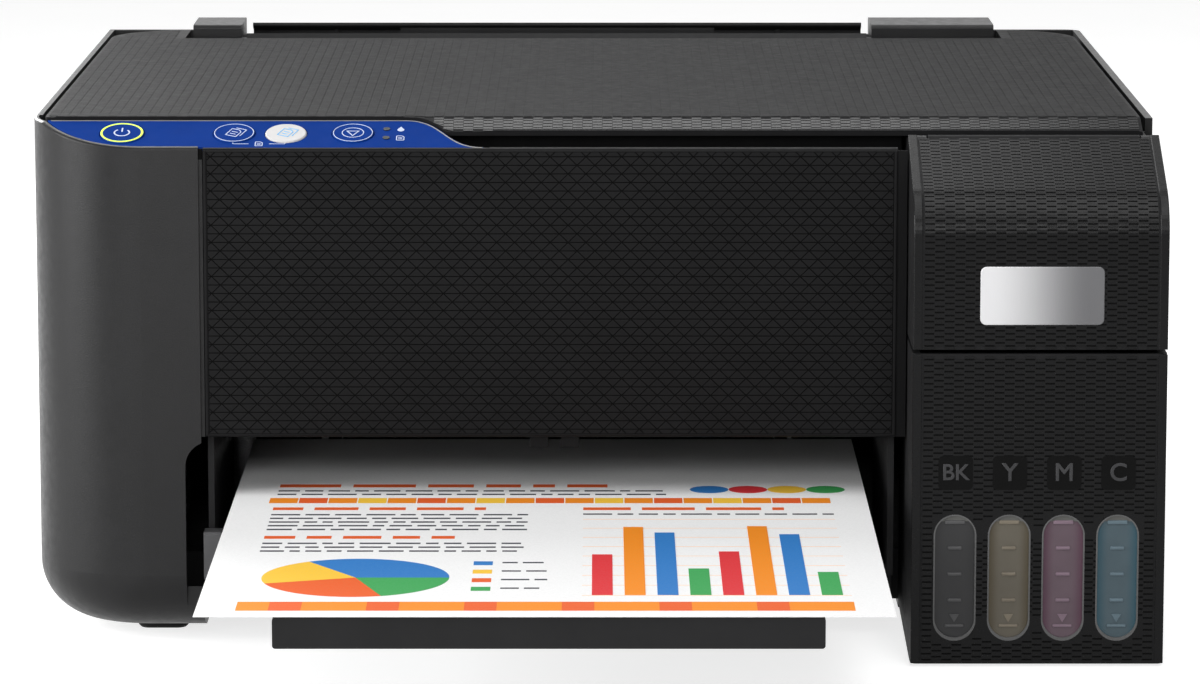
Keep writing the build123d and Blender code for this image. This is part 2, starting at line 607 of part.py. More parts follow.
def make_tank_cap(index):
    """Hinged cap of one ink tank, with its finger tab."""
    x = ink_x(index)
    skirt_z = CAP_HINGE_Z
    cup = rod_z(x, NECK_Y, skirt_z, CAP_TOP_Z, CAP_R)
    arm = block(x - 3.2, x + 3.2, NECK_Y, CAP_HINGE_Y, CAP_TOP_Z - 2.5, CAP_TOP_Z)
    knuckle = rod_x(x - 3.6, x + 3.6, CAP_HINGE_Y, CAP_HINGE_Z, CAP_HINGE_R)
    drop = block(x - 3.2, x + 3.2, CAP_HINGE_Y - 2.2, CAP_HINGE_Y + 1.6, CAP_HINGE_Z, CAP_TOP_Z)
    tab = block(x - 2.5, x + 2.5, NECK_Y - CAP_R - 3.5, NECK_Y, CAP_TOP_Z - 2.0, CAP_TOP_Z)
    cap = join(cup, arm, knuckle, drop, tab)
    cap = cap - rod_z(x, NECK_Y, skirt_z - 1.0, INK_Z1 + NECK_H + 0.4, NECK_R + 0.6)
    return cap - rod_x(x - 5.0, x + 5.0, CAP_HINGE_Y, CAP_HINGE_Z, CAP_PIN_R + FIT)


def cover_slope_z(y, inset):
    """Height of the cover's sloping top at one depth, drawn in by an inset."""
    rise = math.tan(math.radians(COVER_SLOPE))
    crest = COVER_PIN_Z + COVER_KNUCKLE_R - inset / math.cos(math.radians(COVER_SLOPE))
    return crest + (y - COVER_PIN_Y) * rise


def cover_outline(inset, back, low):
    """Side outline of the tank cover with its rounded bend."""
    y0 = FRONT_Y + inset
    bend = (y0, cover_slope_z(y0, inset))
    if inset:
        crown = [(back, cover_slope_z(back, inset))]
    else:
        crown = [(COVER_PIN_Y, COVER_PIN_Z + COVER_KNUCKLE_R), (COVER_PIN_Y + 2.3, COVER_PIN_Z + 1.2),
                 (back, COVER_PIN_Z - 0.2)]
    face = make_face(Polyline((y0, low), bend, *crown, (back, low), close=True))
    corner = face.vertices().sort_by_distance((bend[0], bend[1], 0))[0]
    return fillet(corner, COVER_BEND_R - inset)


def make_tank_cover():
    """Tank cover: bent shell with side walls and a rolled hinge edge."""
    back = FRONT_Y + COVER_D
    outer = extrude(side_plane(TANK_X0) * cover_outline(0.0, back, COVER_Z0), RIGHT_X - TANK_X0)
    inner_face = cover_outline(WALL, back + 5.0, COVER_Z0 - 5.0)
    inner = extrude(side_plane(TANK_X0 + WALL) * inner_face, RIGHT_X - TANK_X0 - 2 * WALL)
    cover = outer - inner
    knuckle = rod_x(TANK_X0, RIGHT_X, COVER_PIN_Y, COVER_PIN_Z, COVER_KNUCKLE_R)
    cover = cover + knuckle
    for x in (COVER_ARM_X0, COVER_ARM_X1):
        cover = cover - rod_x(x - GAP, x + COVER_ARM_T + GAP, COVER_PIN_Y, COVER_PIN_Z, COVER_KNUCKLE_R + GAP)
    heel = side_prism([(COVER_PIN_Y + COVER_HEEL_D, COVER_Z0), (back, COVER_Z0 + COVER_HEEL),
                       (back + 1.0, COVER_Z0 + COVER_HEEL), (back + 1.0, COVER_Z0 - 1.0),
                       (COVER_PIN_Y + COVER_HEEL_D, COVER_Z0 - 1.0)], TANK_X0 - 1.0, RIGHT_X + 1.0)
    bore = rod_x(TANK_X0 + 1.0, RIGHT_X - 1.0, COVER_PIN_Y, COVER_PIN_Z, COVER_PIN_R + FIT)
    return cover - heel - bore


def make_cover_hinge_pin():
    """Steel pin of the tank cover."""
    return rod_x(TANK_X0 + 1.5, RIGHT_X - 1.5, COVER_PIN_Y, COVER_PIN_Z, COVER_PIN_R)


def hinge_ear(x0, x1):
    """Ear behind the scanner unit that joins its hinge pin and the lid's."""
    ear = side_prism([(SCAN_REAR_Y - 1.0, SCAN_PIN_Z - HINGE_BOSS_R), (SCAN_PIN_Y, SCAN_PIN_Z - HINGE_BOSS_R),
                      (LID_PIN_Y, LID_PIN_Z - LID_BOSS_R), (LID_PIN_Y, LID_PIN_Z + LID_BOSS_R),
                      (SCAN_REAR_Y - 1.0, SCAN_TOP)], x0, x1)
    ear = ear + rod_x(x0, x1, SCAN_PIN_Y, SCAN_PIN_Z, HINGE_BOSS_R)
    ear = ear + rod_x(x0, x1, LID_PIN_Y, LID_PIN_Z, LID_BOSS_R)
    ear = ear - rod_x(x0 - 1, x1 + 1, SCAN_PIN_Y, SCAN_PIN_Z, HINGE_PIN_R + FIT)
    return ear - rod_x(x0 - 1, x1 + 1, LID_PIN_Y, LID_PIN_Z, LID_PIN_R + FIT)


def glass_block(grow, z0, z1):
    """Block over the scanner glass, larger by a margin all round."""
    return block(GLASS_X - GLASS_W / 2 - grow, GLASS_X + GLASS_W / 2 + grow,
                 GLASS_Y - GLASS_L / 2 - grow, GLASS_Y + GLASS_L / 2 + grow, z0, z1)


def scanner_pockets():
    """Hollows in the tub's rims, open below, with a rib between each two."""
    z0 = SCAN_Z0 - 1.0
    top = SCAN_TOP - GLASS_T - WALL
    inner = glass_block(-LEDGE + WALL, 0.0, 1.0).bounding_box()
    rear = SCAN_REAR_Y - WALL
    length = (rear - inner.min.Y - WALL) / RIM_CELLS
    cells = []
    for i in range(RIM_CELLS):
        y0 = inner.min.Y + WALL + i * length
        cells.append((SCAN_X0 + WALL, inner.min.X, y0, y0 + length - WALL, top))
        cells.append((inner.max.X, SCAN_X1 - WALL, y0, y0 + length - WALL, top))
    cells.append((inner.min.X + WALL, SCAN_STEP_X - WALL, SCAN_FRONT_Y + WALL, inner.min.Y,
                  CONTROL_BASE_Z - WALL))
    cells.append((SCAN_STEP_X + WALL, TANK_X0 - 2 * WALL, SCAN_MID_Y + WALL, inner.min.Y, top))
    return [block(x0, x1, y0, y1, z0, z1) for x0, x1, y0, y1, z1 in cells]


def make_scanner_frame():
    """Scanner tub: walls, the ledge of the glass and the hinge ears."""
    right_x = TANK_X0 - 1.5
    outline = [(SCAN_X0, SCAN_REAR_Y), (SCAN_X0, SCAN_FRONT_Y), (SCAN_STEP_X, SCAN_FRONT_Y),
               (SCAN_STEP_X, SCAN_MID_Y), (right_x, SCAN_MID_Y), (right_x, SCAN_RIGHT_Y),
               (SCAN_X1, SCAN_RIGHT_Y), (SCAN_X1, SCAN_REAR_Y)]
    face = make_face(Polyline(*outline, close=True))
    corner = face.vertices().sort_by_distance((SCAN_X0, SCAN_FRONT_Y, 0))[0]
    face = fillet(corner, CASE_CORNER_R - WALL - SCAN_SIDE_GAP)
    tub = extrude(Pos(0, 0, SCAN_Z0) * face, SCAN_TOP - SCAN_Z0)
    tub = tub - block(LEFT_X, SCAN_STEP_X + 1.0, PANEL_Y, CONTROL_BACK_Y + 0.6, CONTROL_BASE_Z, SCAN_TOP + 1.0)
    tub = tub - glass_block(-LEDGE, SCAN_Z0 + SCAN_FLOOR_T, SCAN_TOP + 1.0)
    tub = tub - glass_block(SEAM, SCAN_TOP - GLASS_T, SCAN_TOP + 1.0)
    for pocket in scanner_pockets():
        tub = tub - pocket
    inner_ear = EAR_X
    outer_ear = EAR_X + EAR_T + LID_ARM_W + 2 * GAP
    for x in (inner_ear, outer_ear):
        tub = tub + hinge_ear(x, x + EAR_T) + hinge_ear(-x - EAR_T, -x)
    return tub


def make_scanner_glass():
    """Flat glass of the scanner."""
    return glass_block(0.0, SCAN_TOP - GLASS_T, SCAN_TOP)


def make_scan_bar():
    """Contact image sensor bar on its guide rod."""
    half = GLASS_L / 2 - LEDGE - 1.0
    bar = block(SCAN_BAR_X, SCAN_BAR_X + SCAN_BAR_W, GLASS_Y - half, GLASS_Y + half,
                SCAN_Z0 + SCAN_FLOOR_T + 1.0, SCAN_TOP - GLASS_T - 1.0)
    bar = chamfer(bar.faces().sort_by(Axis.Z)[-1].edges().filter_by(Axis.Y), 3.0)
    return bar - rod_x(SCAN_BAR_X - 1, SCAN_BAR_X + SCAN_BAR_W + 1, GLASS_Y, SCAN_ROD_Z, SCAN_ROD_R + FIT)


def make_scan_rod():
    """Guide rod of the scan bar."""
    half = GLASS_W / 2 - LEDGE
    return rod_x(GLASS_X - half, GLASS_X + half, GLASS_Y, SCAN_ROD_Z, SCAN_ROD_R)


def control_outline(grow):
    """Plan of the control panel: rounded casing corner on the left, S-shaped end on the right."""
    centre_x = LEFT_X + CASE_CORNER_R
    centre_y = PANEL_Y + CASE_CORNER_R
    radius = CASE_CORNER_R - (CONTROL_FRONT_Y - PANEL_Y) + grow
    back = CONTROL_BACK_Y + grow
    front = CONTROL_FRONT_Y - grow
    start = math.pi + math.asin((centre_y - back) / radius)
    middle = (start + 1.5 * math.pi) / 2
    arc_points = [(centre_x + radius * math.cos(a), centre_y + radius * math.sin(a))
                  for a in (start, middle, 1.5 * math.pi)]
    end_x = SCAN_STEP_X - 2.0 + grow
    top_x = CONTROL_S_X + grow
    corner = ThreePointArc(*arc_points)
    lower = Line(arc_points[2], (end_x, front))
    bend = (end_x + top_x) / 2
    sweep = Bezier((end_x, front), (bend, front), (bend, back), (top_x, back))
    upper = Line((top_x, back), arc_points[0])
    return make_face([corner, lower, sweep, upper])


def control_z(y):
    """Height of the control panel's sloping face at one depth."""
    return CONTROL_FRONT_Z + (y - CONTROL_FRONT_Y) * math.tan(math.radians(CONTROL_ANGLE))


def button_plane(x):
    """Plane on the panel's face at one button, its Z axis out of the face."""
    y = (CONTROL_FRONT_Y + CONTROL_BACK_Y) / 2
    tilt = math.radians(CONTROL_ANGLE)
    return Plane(origin=(x, y, control_z(y)), x_dir=(1, 0, 0), z_dir=(0, -math.sin(tilt), math.cos(tilt)))


def button_radius(name):
    """Radius of one button."""
    return POWER_R if name == "power_button" else BUTTON_R


def make_control_panel():
    """Control panel: sloping plate on ribs, with the button holes."""
    y0 = CONTROL_FRONT_Y
    y1 = CONTROL_BACK_Y
    slab = side_prism([(y0, control_z(y0) - SKIN), (y1, control_z(y1) - SKIN), (y1, control_z(y1)),
                       (y0, control_z(y0))], LEFT_X, SCAN_STEP_X)
    plate = extrude(Pos(0, 0, CONTROL_BASE_Z) * control_outline(0.0), CONTROL_BACK_Z) & slab
    back_y = y1 - SKIN
    back_rib = side_prism([(back_y, CONTROL_BASE_Z), (y1, CONTROL_BASE_Z), (y1, control_z(y1) - SKIN / 2),
                           (back_y, control_z(back_y) - SKIN / 2)], LEFT_X + 9.0, CONTROL_S_X - 2.0)
    panel = plate + back_rib
    rib_y = SCAN_FRONT_Y + 2.0
    for x in CONTROL_RIB_XS:
        rib = side_prism([(rib_y, CONTROL_BASE_Z), (y1, CONTROL_BASE_Z), (y1, control_z(y1) - SKIN / 2),
                          (rib_y, control_z(rib_y) - SKIN / 2)], x - 1.0, x + 1.0)
        panel = panel + rib
    for name, x in BUTTON_XS.items():
        panel = panel - button_plane(x) * Cylinder(button_radius(name) + 0.3, 6.0)
        well = Cylinder(button_radius(name) + BUTTON_FLANGE + GAP, BUTTON_WELL)
        panel = panel - button_plane(x) * Pos(0, 0, -SKIN - BUTTON_WELL / 2) * well
    return panel


def make_button(name):
    """Push button: disc with a soft edge and a retaining flange under the panel."""
    radius = button_radius(name)
    shank = Pos(0, 0, -BUTTON_H / 2 + 0.2) * Cylinder(radius, BUTTON_H + 0.4)
    shank = chamfer(shank.edges().sort_by(Axis.Z)[-1], 0.35)
    flange = Pos(0, 0, -SKIN - SEAM - 0.5) * Cylinder(radius + BUTTON_FLANGE, 1.0)
    return button_plane(BUTTON_XS[name]) * (shank + flange)


def lid_plan():
    """Plan of the lid, with rear corners that reach round the paper feed."""
    outline = [(-LID_HALF_W, LID_FRONT_Y), (LID_HALF_W, LID_FRONT_Y), (LID_HALF_W, LID_HORN_Y),
               (LID_HORN_X, LID_HORN_Y), (LID_HORN_X, LID_REAR_Y), (-LID_HORN_X, LID_REAR_Y),
               (-LID_HORN_X, LID_HORN_Y), (-LID_HALF_W, LID_HORN_Y)]
    face = make_face(Polyline(*outline, close=True))
    horns = [face.vertices().sort_by_distance((side * LID_HALF_W, LID_HORN_Y, 0))[0] for side in (-1, 1)]
    return fillet(horns, LID_HORN_R)


def make_document_lid():
    """Lid: flat top, sloping front lip, cut round the control panel, with hinge arms."""
    slab = extrude(Pos(0, 0, LID_Z0) * lid_plan(), LID_TOP - LID_Z0)
    profile = side_prism([(LID_FRONT_Y, LID_Z0), (LID_HORN_Y, LID_Z0), (LID_HORN_Y, LID_TOP),
                          (LID_CREASE_Y, LID_TOP), (LID_FRONT_Y, LID_FRONT_Z)], -LID_HALF_W, LID_HALF_W)
    lid = slab & profile
    lid = lid - extrude(Pos(0, 0, LID_Z0 - 1.0) * control_outline(0.7), LID_TOP)
    lid = lid - block(-LID_HALF_W - 1.0, CONTROL_S_X, LID_FRONT_Y - 1.0, CONTROL_BACK_Y + 0.7, LID_Z0 - 1.0,
                      LID_TOP + 1.0)
    lid = lid - pad_block(SEAM, LID_Z0 - 1.0, LID_Z0 + PAD_T - 0.6)
    corner = block(LEFT_X, LID_CORNER - LID_HALF_W, PANEL_Y, PANEL_Y + CASE_CORNER_R, LID_Z0 - 1.0,
                   LID_TOP + 1.0)
    inside = Pos(LEFT_X + CASE_CORNER_R, PANEL_Y + CASE_CORNER_R, LID_Z0 - 2.0)
    inside = extrude(inside * Circle(CASE_CORNER_R - RIM_T - GAP), LID_TOP)
    lid = lid - (corner - inside)
    arm_x = EAR_X + EAR_T + GAP
    for x0 in (arm_x, -arm_x - LID_ARM_W):
        arm = side_prism([(LID_PIN_Y - LID_BOSS_R, LID_PIN_Z), (LID_PIN_Y + LID_BOSS_R, LID_PIN_Z),
                          (LID_PIN_Y + LID_BOSS_R, LID_Z0 + 0.5), (LID_PIN_Y - 2 * LID_BOSS_R, LID_Z0 + 0.5)],
                         x0, x0 + LID_ARM_W)
        lid = lid + arm + rod_x(x0, x0 + LID_ARM_W, LID_PIN_Y, LID_PIN_Z, LID_BOSS_R)
        lid = lid - rod_x(x0 - 0.4, x0 + LID_ARM_W + 0.4, LID_PIN_Y, LID_PIN_Z, LID_PIN_R + FIT)
    return lid


def pad_block(grow, z0, z1):
    """Block over the lid's white pad, larger by a margin all round."""
    return block(GLASS_X - PAD_W / 2 - grow, GLASS_X + PAD_W / 2 + grow, GLASS_Y - PAD_L / 2 - grow,
                 GLASS_Y + PAD_L / 2 + grow, z0, z1)


def make_lid_pad():
    """White foam pad under the lid."""
    return pad_block(0.0, LID_Z0 - 0.6, LID_Z0 + PAD_T - 0.6)


def make_lid_hinge_pins():
    """Two pins of the lid, held in the scanner unit's ears."""
    x0 = EAR_X + 0.2
    x1 = EAR_X + 2 * EAR_T + LID_ARM_W + 2 * GAP - 0.2
    pins = [rod_x(x0, x1, LID_PIN_Y, LID_PIN_Z, LID_PIN_R), rod_x(-x1, -x0, LID_PIN_Y, LID_PIN_Z, LID_PIN_R)]
    return Compound(children=pins)


def make_scanner_hinge_pins():
    """Two pins of the scanner unit, held in the casings' brackets."""
    x0 = EAR_X + 2 * EAR_T + LID_ARM_W + 2 * GAP - EAR_T + 0.2
    x1 = BRACKET_X + BRACKET_T - 0.2
    pins = [rod_x(x0, x1, SCAN_PIN_Y, SCAN_PIN_Z, HINGE_PIN_R),
            rod_x(-x1, -x0, SCAN_PIN_Y, SCAN_PIN_Z, HINGE_PIN_R)]
    return Compound(children=pins)


def gear(teeth, y, phase):
    """Spur gear in the gear train's plane; phase is the angle of one tooth, from +Y towards +Z."""
    pitch_r = GEAR_MODULE * teeth / 2
    half = BACKLASH * math.pi / (2 * teeth)
    profile = []
    for depth, spread in ((-DEDENDUM, DEDENDUM), (ADDENDUM, -ADDENDUM)):
        profile.append((pitch_r + GEAR_MODULE * depth, half + PRESSURE * GEAR_MODULE * spread / pitch_r))
    (root_r, root_half), (tip_r, tip_half) = profile
    points = []
    for i in range(teeth):
        middle = math.radians(phase) + 2 * math.pi * i / teeth
        for radius, angle in ((root_r, -root_half), (tip_r, -tip_half), (tip_r, tip_half), (root_r, root_half)):
            points.append((y + radius * math.cos(middle + angle), FEED_Z + radius * math.sin(middle + angle)))
    return side_prism(points, GEAR_X0, GEAR_X1)


def roller(y, phase):
    """Rubber roller on its shaft, with the gear at its left end."""
    rubber = rod_x(PANEL_X0 + 8.0, PANEL_X1 - 6.0, y, FEED_Z, ROLLER_R)
    shaft = rod_x(GEAR_X0 - 1.0, PLATE_X1 + PLATE_T + 1.0, y, FEED_Z, SHAFT_R)
    hub = rod_x(GEAR_X0, GEAR_X1 + 1.0, y, FEED_Z, SHAFT_R + 3.0)
    return join(rubber, shaft, hub, gear(FEED_TEETH, y, phase))


def make_feed_roller():
    """Feed roller behind the platen."""
    return roller(FEED_Y, 0.0)


def make_eject_roller():
    """Eject roller in front of the platen."""
    return roller(EJECT_Y, 0.0)


def make_idler_gear():
    """Gear between the feed and eject gears, on the frame plate's stub."""
    bore = rod_x(GEAR_X0 - 1, GEAR_X1 + 1, GEAR_IDLER_Y, FEED_Z, STUB_R + FIT)
    return gear(IDLER_TEETH, GEAR_IDLER_Y, 180.0 / IDLER_TEETH) - bore


def make_motor_pinion():
    """Pinion on the feed motor's shaft."""
    bore = rod_x(GEAR_X0 - 1, GEAR_X1 + 1, PINION_Y, FEED_Z, MOTOR_SHAFT_R + FIT)
    return gear(PINION_TEETH, PINION_Y, 180.0 / PINION_TEETH) - bore


def make_feed_motor():
    """Feed motor on its bracket, left of the gear train."""
    x1 = GEAR_X0 - 7.0
    can = rod_x(x1 - 30.0, x1, PINION_Y, FEED_Z, MOTOR_R)
    nose = rod_x(x1 - 0.5, x1 + 2.0, PINION_Y, FEED_Z, 4.0)
    shaft = rod_x(x1, GEAR_X1 + 0.5, PINION_Y, FEED_Z, MOTOR_SHAFT_R)
    bracket = block(x1 - 20.0, x1 - 8.0, PINION_Y - 11.0, PINION_Y + 11.0, BASE_TOP, FEED_Z)
    return join(can, nose, shaft, bracket)


def make_frame_plates():
    """Two steel side plates of the print mechanism, with bearing holes and the idler's stub."""
    left = block(PANEL_X0, PANEL_X0 + PLATE_T, PLATE_Y0, PLATE_Y1, BASE_TOP, PLATE_TOP)
    right = block(PLATE_X1, PLATE_X1 + PLATE_T, PLATE_Y0, PLATE_Y1, BASE_TOP, PLATE_TOP)
    for y in (FEED_Y, EJECT_Y):
        hole = rod_x(LEFT_X, RIGHT_X, y, FEED_Z, SHAFT_R + FIT)
        left = left - hole
        right = right - hole
    left = left + rod_x(GEAR_X0 - 0.5, PANEL_X0 + 0.5, GEAR_IDLER_Y, FEED_Z, STUB_R)
    return Compound(children=[left, right])


def make_carriage_rail():
    """Bent steel carriage rail, open to the front, with the plates of motor and idler."""
    outer = block(RAIL_X0, PLATE_X1, RAIL_Y, RAIL_Y + RAIL_D, RAIL_Z0, RAIL_Z1)
    hollow = block(RAIL_X0 - 1, PLATE_X1 + 1, RAIL_Y - 1, RAIL_Y + RAIL_D - RAIL_T, RAIL_Z0 + RAIL_T,
                   RAIL_Z1 - RAIL_T)
    rail = outer - hollow
    for x0, x1 in ((RAIL_X0, RAIL_X0 + PAN_L), (PLATE_X1 - PAN_L, PLATE_X1)):
        rail = rail + block(x0, x1, RAIL_Y + RAIL_D - 1.0, PAN_Y1, RAIL_Z1 - RAIL_T, RAIL_Z1)
    rail = rail - rod_z(MOTOR_PULLEY_X, BELT_Y, RAIL_Z1 - 5, RAIL_Z1 + 1, 4.0)
    return rail + rod_z(IDLER_PULLEY_X, BELT_Y, RAIL_Z1 - 0.5, PULLEY_Z1 + 0.5, MOTOR_SHAFT_R)


def make_carriage_motor():
    """Carriage motor, hung under the rail's left plate."""
    top = RAIL_Z1 - RAIL_T
    can = rod_z(MOTOR_PULLEY_X, BELT_Y, top - 34.0, top, MOTOR_R)
    shaft = rod_z(MOTOR_PULLEY_X, BELT_Y, top - 0.5, PULLEY_Z1 + 0.5, MOTOR_SHAFT_R)
    boss = rod_z(MOTOR_PULLEY_X, BELT_Y, top - 0.5, top + 1.0, 3.7)
    return join(can, shaft, boss)


def make_pulley(x):
    """Flanged belt pulley."""
    drum = rod_z(x, BELT_Y, PULLEY_Z0, PULLEY_Z1, PULLEY_R)
    low = rod_z(x, BELT_Y, PULLEY_Z0, PULLEY_Z0 + FLANGE_T, FLANGE_R)
    high = rod_z(x, BELT_Y, PULLEY_Z1 - FLANGE_T, PULLEY_Z1, FLANGE_R)
    bore = rod_z(x, BELT_Y, PULLEY_Z0 - 1, PULLEY_Z1 + 1, MOTOR_SHAFT_R + FIT)
    return join(drum, low, high) - bore


def make_timing_belt():
    """Closed belt round the two pulleys."""
    span = IDLER_PULLEY_X - MOTOR_PULLEY_X
    middle = (IDLER_PULLEY_X + MOTOR_PULLEY_X) / 2
    ring = SlotCenterToCenter(span, 2 * (BELT_IN_R + BELT_T)) - SlotCenterToCenter(span, 2 * BELT_IN_R)
    return extrude(Pos(middle, BELT_Y, BELT_Z0) * ring, BELT_W)


def make_print_carriage():
    """Print carriage: open cradle for the ink dampers, a shoe in the rail and an arm to the belt."""
    x0 = CARRIAGE_HOME_X - CARRIAGE_W / 2
    x1 = CARRIAGE_HOME_X + CARRIAGE_W / 2
    cradle = block(x0, x1, CARRIAGE_Y0, CARRIAGE_Y1, CARRIAGE_Z0, CARRIAGE_Z1)
    cradle = fillet(cradle.edges().filter_by(Axis.Z), 3.0)
    bay = (x1 - x0 - 2 * WALL) / 4
    for i in range(4):
        slot_x = x0 + WALL + i * bay
        cradle = cradle - block(slot_x + 0.6, slot_x + bay - 0.6, CARRIAGE_Y0 + WALL, CARRIAGE_Y1 - WALL - 8.0,
                                CARRIAGE_Z0 + 12.0, CARRIAGE_Z1 + 1.0)
    shoe = block(CARRIAGE_HOME_X - 20.0, CARRIAGE_HOME_X + 20.0, CARRIAGE_Y1 - 1.0,
                 RAIL_Y + RAIL_D - RAIL_T - GAP, RAIL_Z0 + RAIL_T + GAP, RAIL_Z1 - RAIL_T - GAP)
    riser = block(CARRIAGE_HOME_X - 6.0, CARRIAGE_HOME_X + 6.0, CARRIAGE_Y1 - 8.0, CARRIAGE_Y1,
                  CARRIAGE_Z1 - 1.0, BELT_Z0 + BELT_W)
    arm = block(CARRIAGE_HOME_X - 6.0, CARRIAGE_HOME_X + 6.0, CARRIAGE_Y1 - 8.0,
                BELT_Y - BELT_IN_R - BELT_T - 0.4, RAIL_Z1 + 1.0, BELT_Z0 + BELT_W)
    return join(cradle, shoe, riser, arm)


def make_print_head():
    """Print head under the carriage."""
    head = block(CARRIAGE_HOME_X - 18.0, CARRIAGE_HOME_X + 18.0, CARRIAGE_Y0 + 5.0, CARRIAGE_Y1 - 9.0,
                 CARRIAGE_Z0 - HEAD_H, CARRIAGE_Z0)
    return chamfer(head.faces().sort_by(Axis.Z)[0].edges(), 1.0)


def make_platen():
    """Ribbed platen between the rollers."""
    y0 = EJECT_Y + ROLLER_R + 6.0
    y1 = FEED_Y - ROLLER_R - 1.5
    x0 = RAIL_X0
    x1 = PANEL_X1 - LINER_T
    platen = block(x0, x1, y0, y1, PLATEN_Z1 - 6.0, PLATEN_Z1 - 2.0)
    count = 12
    for i in range(count):
        x = x0 + (x1 - x0) * (i + 0.5) / count
        platen = platen + block(x - 1.0, x + 1.0, y0, y1, PLATEN_Z1 - 2.5, PLATEN_Z1)
    return platen


def make_capping_station():
    """Capping and wiping station under the carriage's home place."""
    y0 = CARRIAGE_Y0 + 4.0
    y1 = FEED_Y - SHAFT_R - 4.0
    body = block(CARRIAGE_HOME_X - 22.0, CARRIAGE_HOME_X + 20.0, y0, y1, BASE_TOP, 52.0)
    sled = block(CARRIAGE_HOME_X - 19.0, CARRIAGE_HOME_X + 17.0, y0 + 2, y1 - 2, 51.0, 58.0)
    cup = block(CARRIAGE_HOME_X - 16.0, CARRIAGE_HOME_X + 10.0, y0 + 4, y1 - 5, 57.0, 65.5)
    cup = cup - block(CARRIAGE_HOME_X - 14.0, CARRIAGE_HOME_X + 8.0, y0 + 6, y1 - 7, 60.0, 66.0)
    wiper = block(CARRIAGE_HOME_X + 13.0, CARRIAGE_HOME_X + 14.2, y0 + 4, y1 - 5, 57.0, 66.0)
    return join(body, sled, cup, wiper)


def make_main_board():
    """Main circuit board with its larger parts, on the left casing's standoffs."""
    board = block(BOARD_X, BOARD_X + BOARD_T, BOARD_Y0, BOARD_Y1, BOARD_Z0, BOARD_Z1)
    face = BOARD_X + BOARD_T - 0.2
    for y, z, dy, dz, h in ((30, 40, 22, 22, 2.4), (70, 52, 14, 14, 1.8), (95, 30, 10, 24, 9.0),
                            (18, 72, 26, 6, 7.0), (70, 76, 40, 6, 7.0), (108, 66, 10, 10, 12.0)):
        board = board + block(face, face + h, BOARD_Y0 + y - dy / 2, BOARD_Y0 + y + dy / 2,
                              BOARD_Z0 + z - dz / 2, BOARD_Z0 + z + dz / 2)
    return board


def make_power_supply():
    """Power supply brick at the left rear."""
    brick = block(BASE_X0 + WALL + 1.0, INLET_X + 14.0, REAR_Y - SUPPLY_L, REAR_Y - WALL - 6.0, BASE_TOP,
                  BASE_TOP + SUPPLY_H)
    brick = fillet(brick.edges().filter_by(Axis.Y), 2.0)
    return brick


def make_power_inlet():
    """Mains inlet with its two pins."""
    y0 = REAR_Y - INLET_D
    body = block(INLET_X - INLET_W / 2, INLET_X + INLET_W / 2, y0, REAR_Y - 0.4, INLET_Z - INLET_H / 2,
                 INLET_Z + INLET_H / 2)
    socket = Pos(INLET_X, INLET_Z) * SlotOverall(INLET_W - 4.0, 10.0)
    body = body - front_prism(socket, y0 + 3.0, REAR_Y + 1.0)
    for x in (INLET_X - 4.3, INLET_X + 4.3):
        body = body + rod_y(x, y0 + 2.0, REAR_Y - 4.0, INLET_Z, 1.1)
    return body


def make_usb_port():
    """Square data socket with its tongue."""
    y0 = REAR_Y - USB_D
    body = block(USB_X - USB_W / 2, USB_X + USB_W / 2, y0, REAR_Y - 0.4, USB_Z - USB_H / 2, USB_Z + USB_H / 2)
    body = body - block(USB_X - 4.3, USB_X + 4.3, y0 + 6.0, REAR_Y + 1.0, USB_Z - 4.0, USB_Z + 4.0)
    return body + block(USB_X - 2.8, USB_X + 2.8, y0 + 5.0, REAR_Y - 3.0, USB_Z - 1.6, USB_Z + 1.6)


def on_incline(x0, x1, t0, t1, h0, h1):
    """Box on the chute: across, along it from the top, and out of its back."""
    return INCLINE * block(x0, x1, t0, t1, h0, h1)


def sweep_point(y, radius):
    """Point above the scanner's hinge axis at one depth, on a circle round that axis."""
    return (y, SCAN_PIN_Z + math.sqrt(radius ** 2 - (y - SCAN_PIN_Y) ** 2))


def sweep_arc(y0, y1, radius):
    """Arc round the scanner unit's hinge axis between two depths."""
    return ThreePointArc(*[sweep_point(y, radius) for y in (y0, (y0 + y1) / 2, y1)])


def feeder_end(x0, x1):
    """Raised end of the paper feed, hollow from below."""
    crest_y = SCAN_PIN_Y - 0.8
    arc = sweep_arc(FEEDER_FRONT_Y, crest_y, FEED_SWEEP_R)
    rest = Polyline(sweep_point(crest_y, FEED_SWEEP_R), (crest_y, HEIGHT), (REAR_Y, HEIGHT),
                    (REAR_Y, FEEDER_Z0), (FEEDER_FRONT_Y, FEEDER_Z0), sweep_point(FEEDER_FRONT_Y, FEED_SWEEP_R))
    end = extrude(side_plane(x0) * make_face([arc, rest]), x1 - x0)
    top_edges = end.faces().sort_by(Axis.Z)[-1].edges().filter_by(Axis.X)
    end = fillet(top_edges, 1.5)
    return end - block(x0 + WALL, x1 - WALL, SCAN_PIN_Y - 9.0, REAR_Y - WALL, FEEDER_Z0 - 1.0, HEIGHT - 8.0)


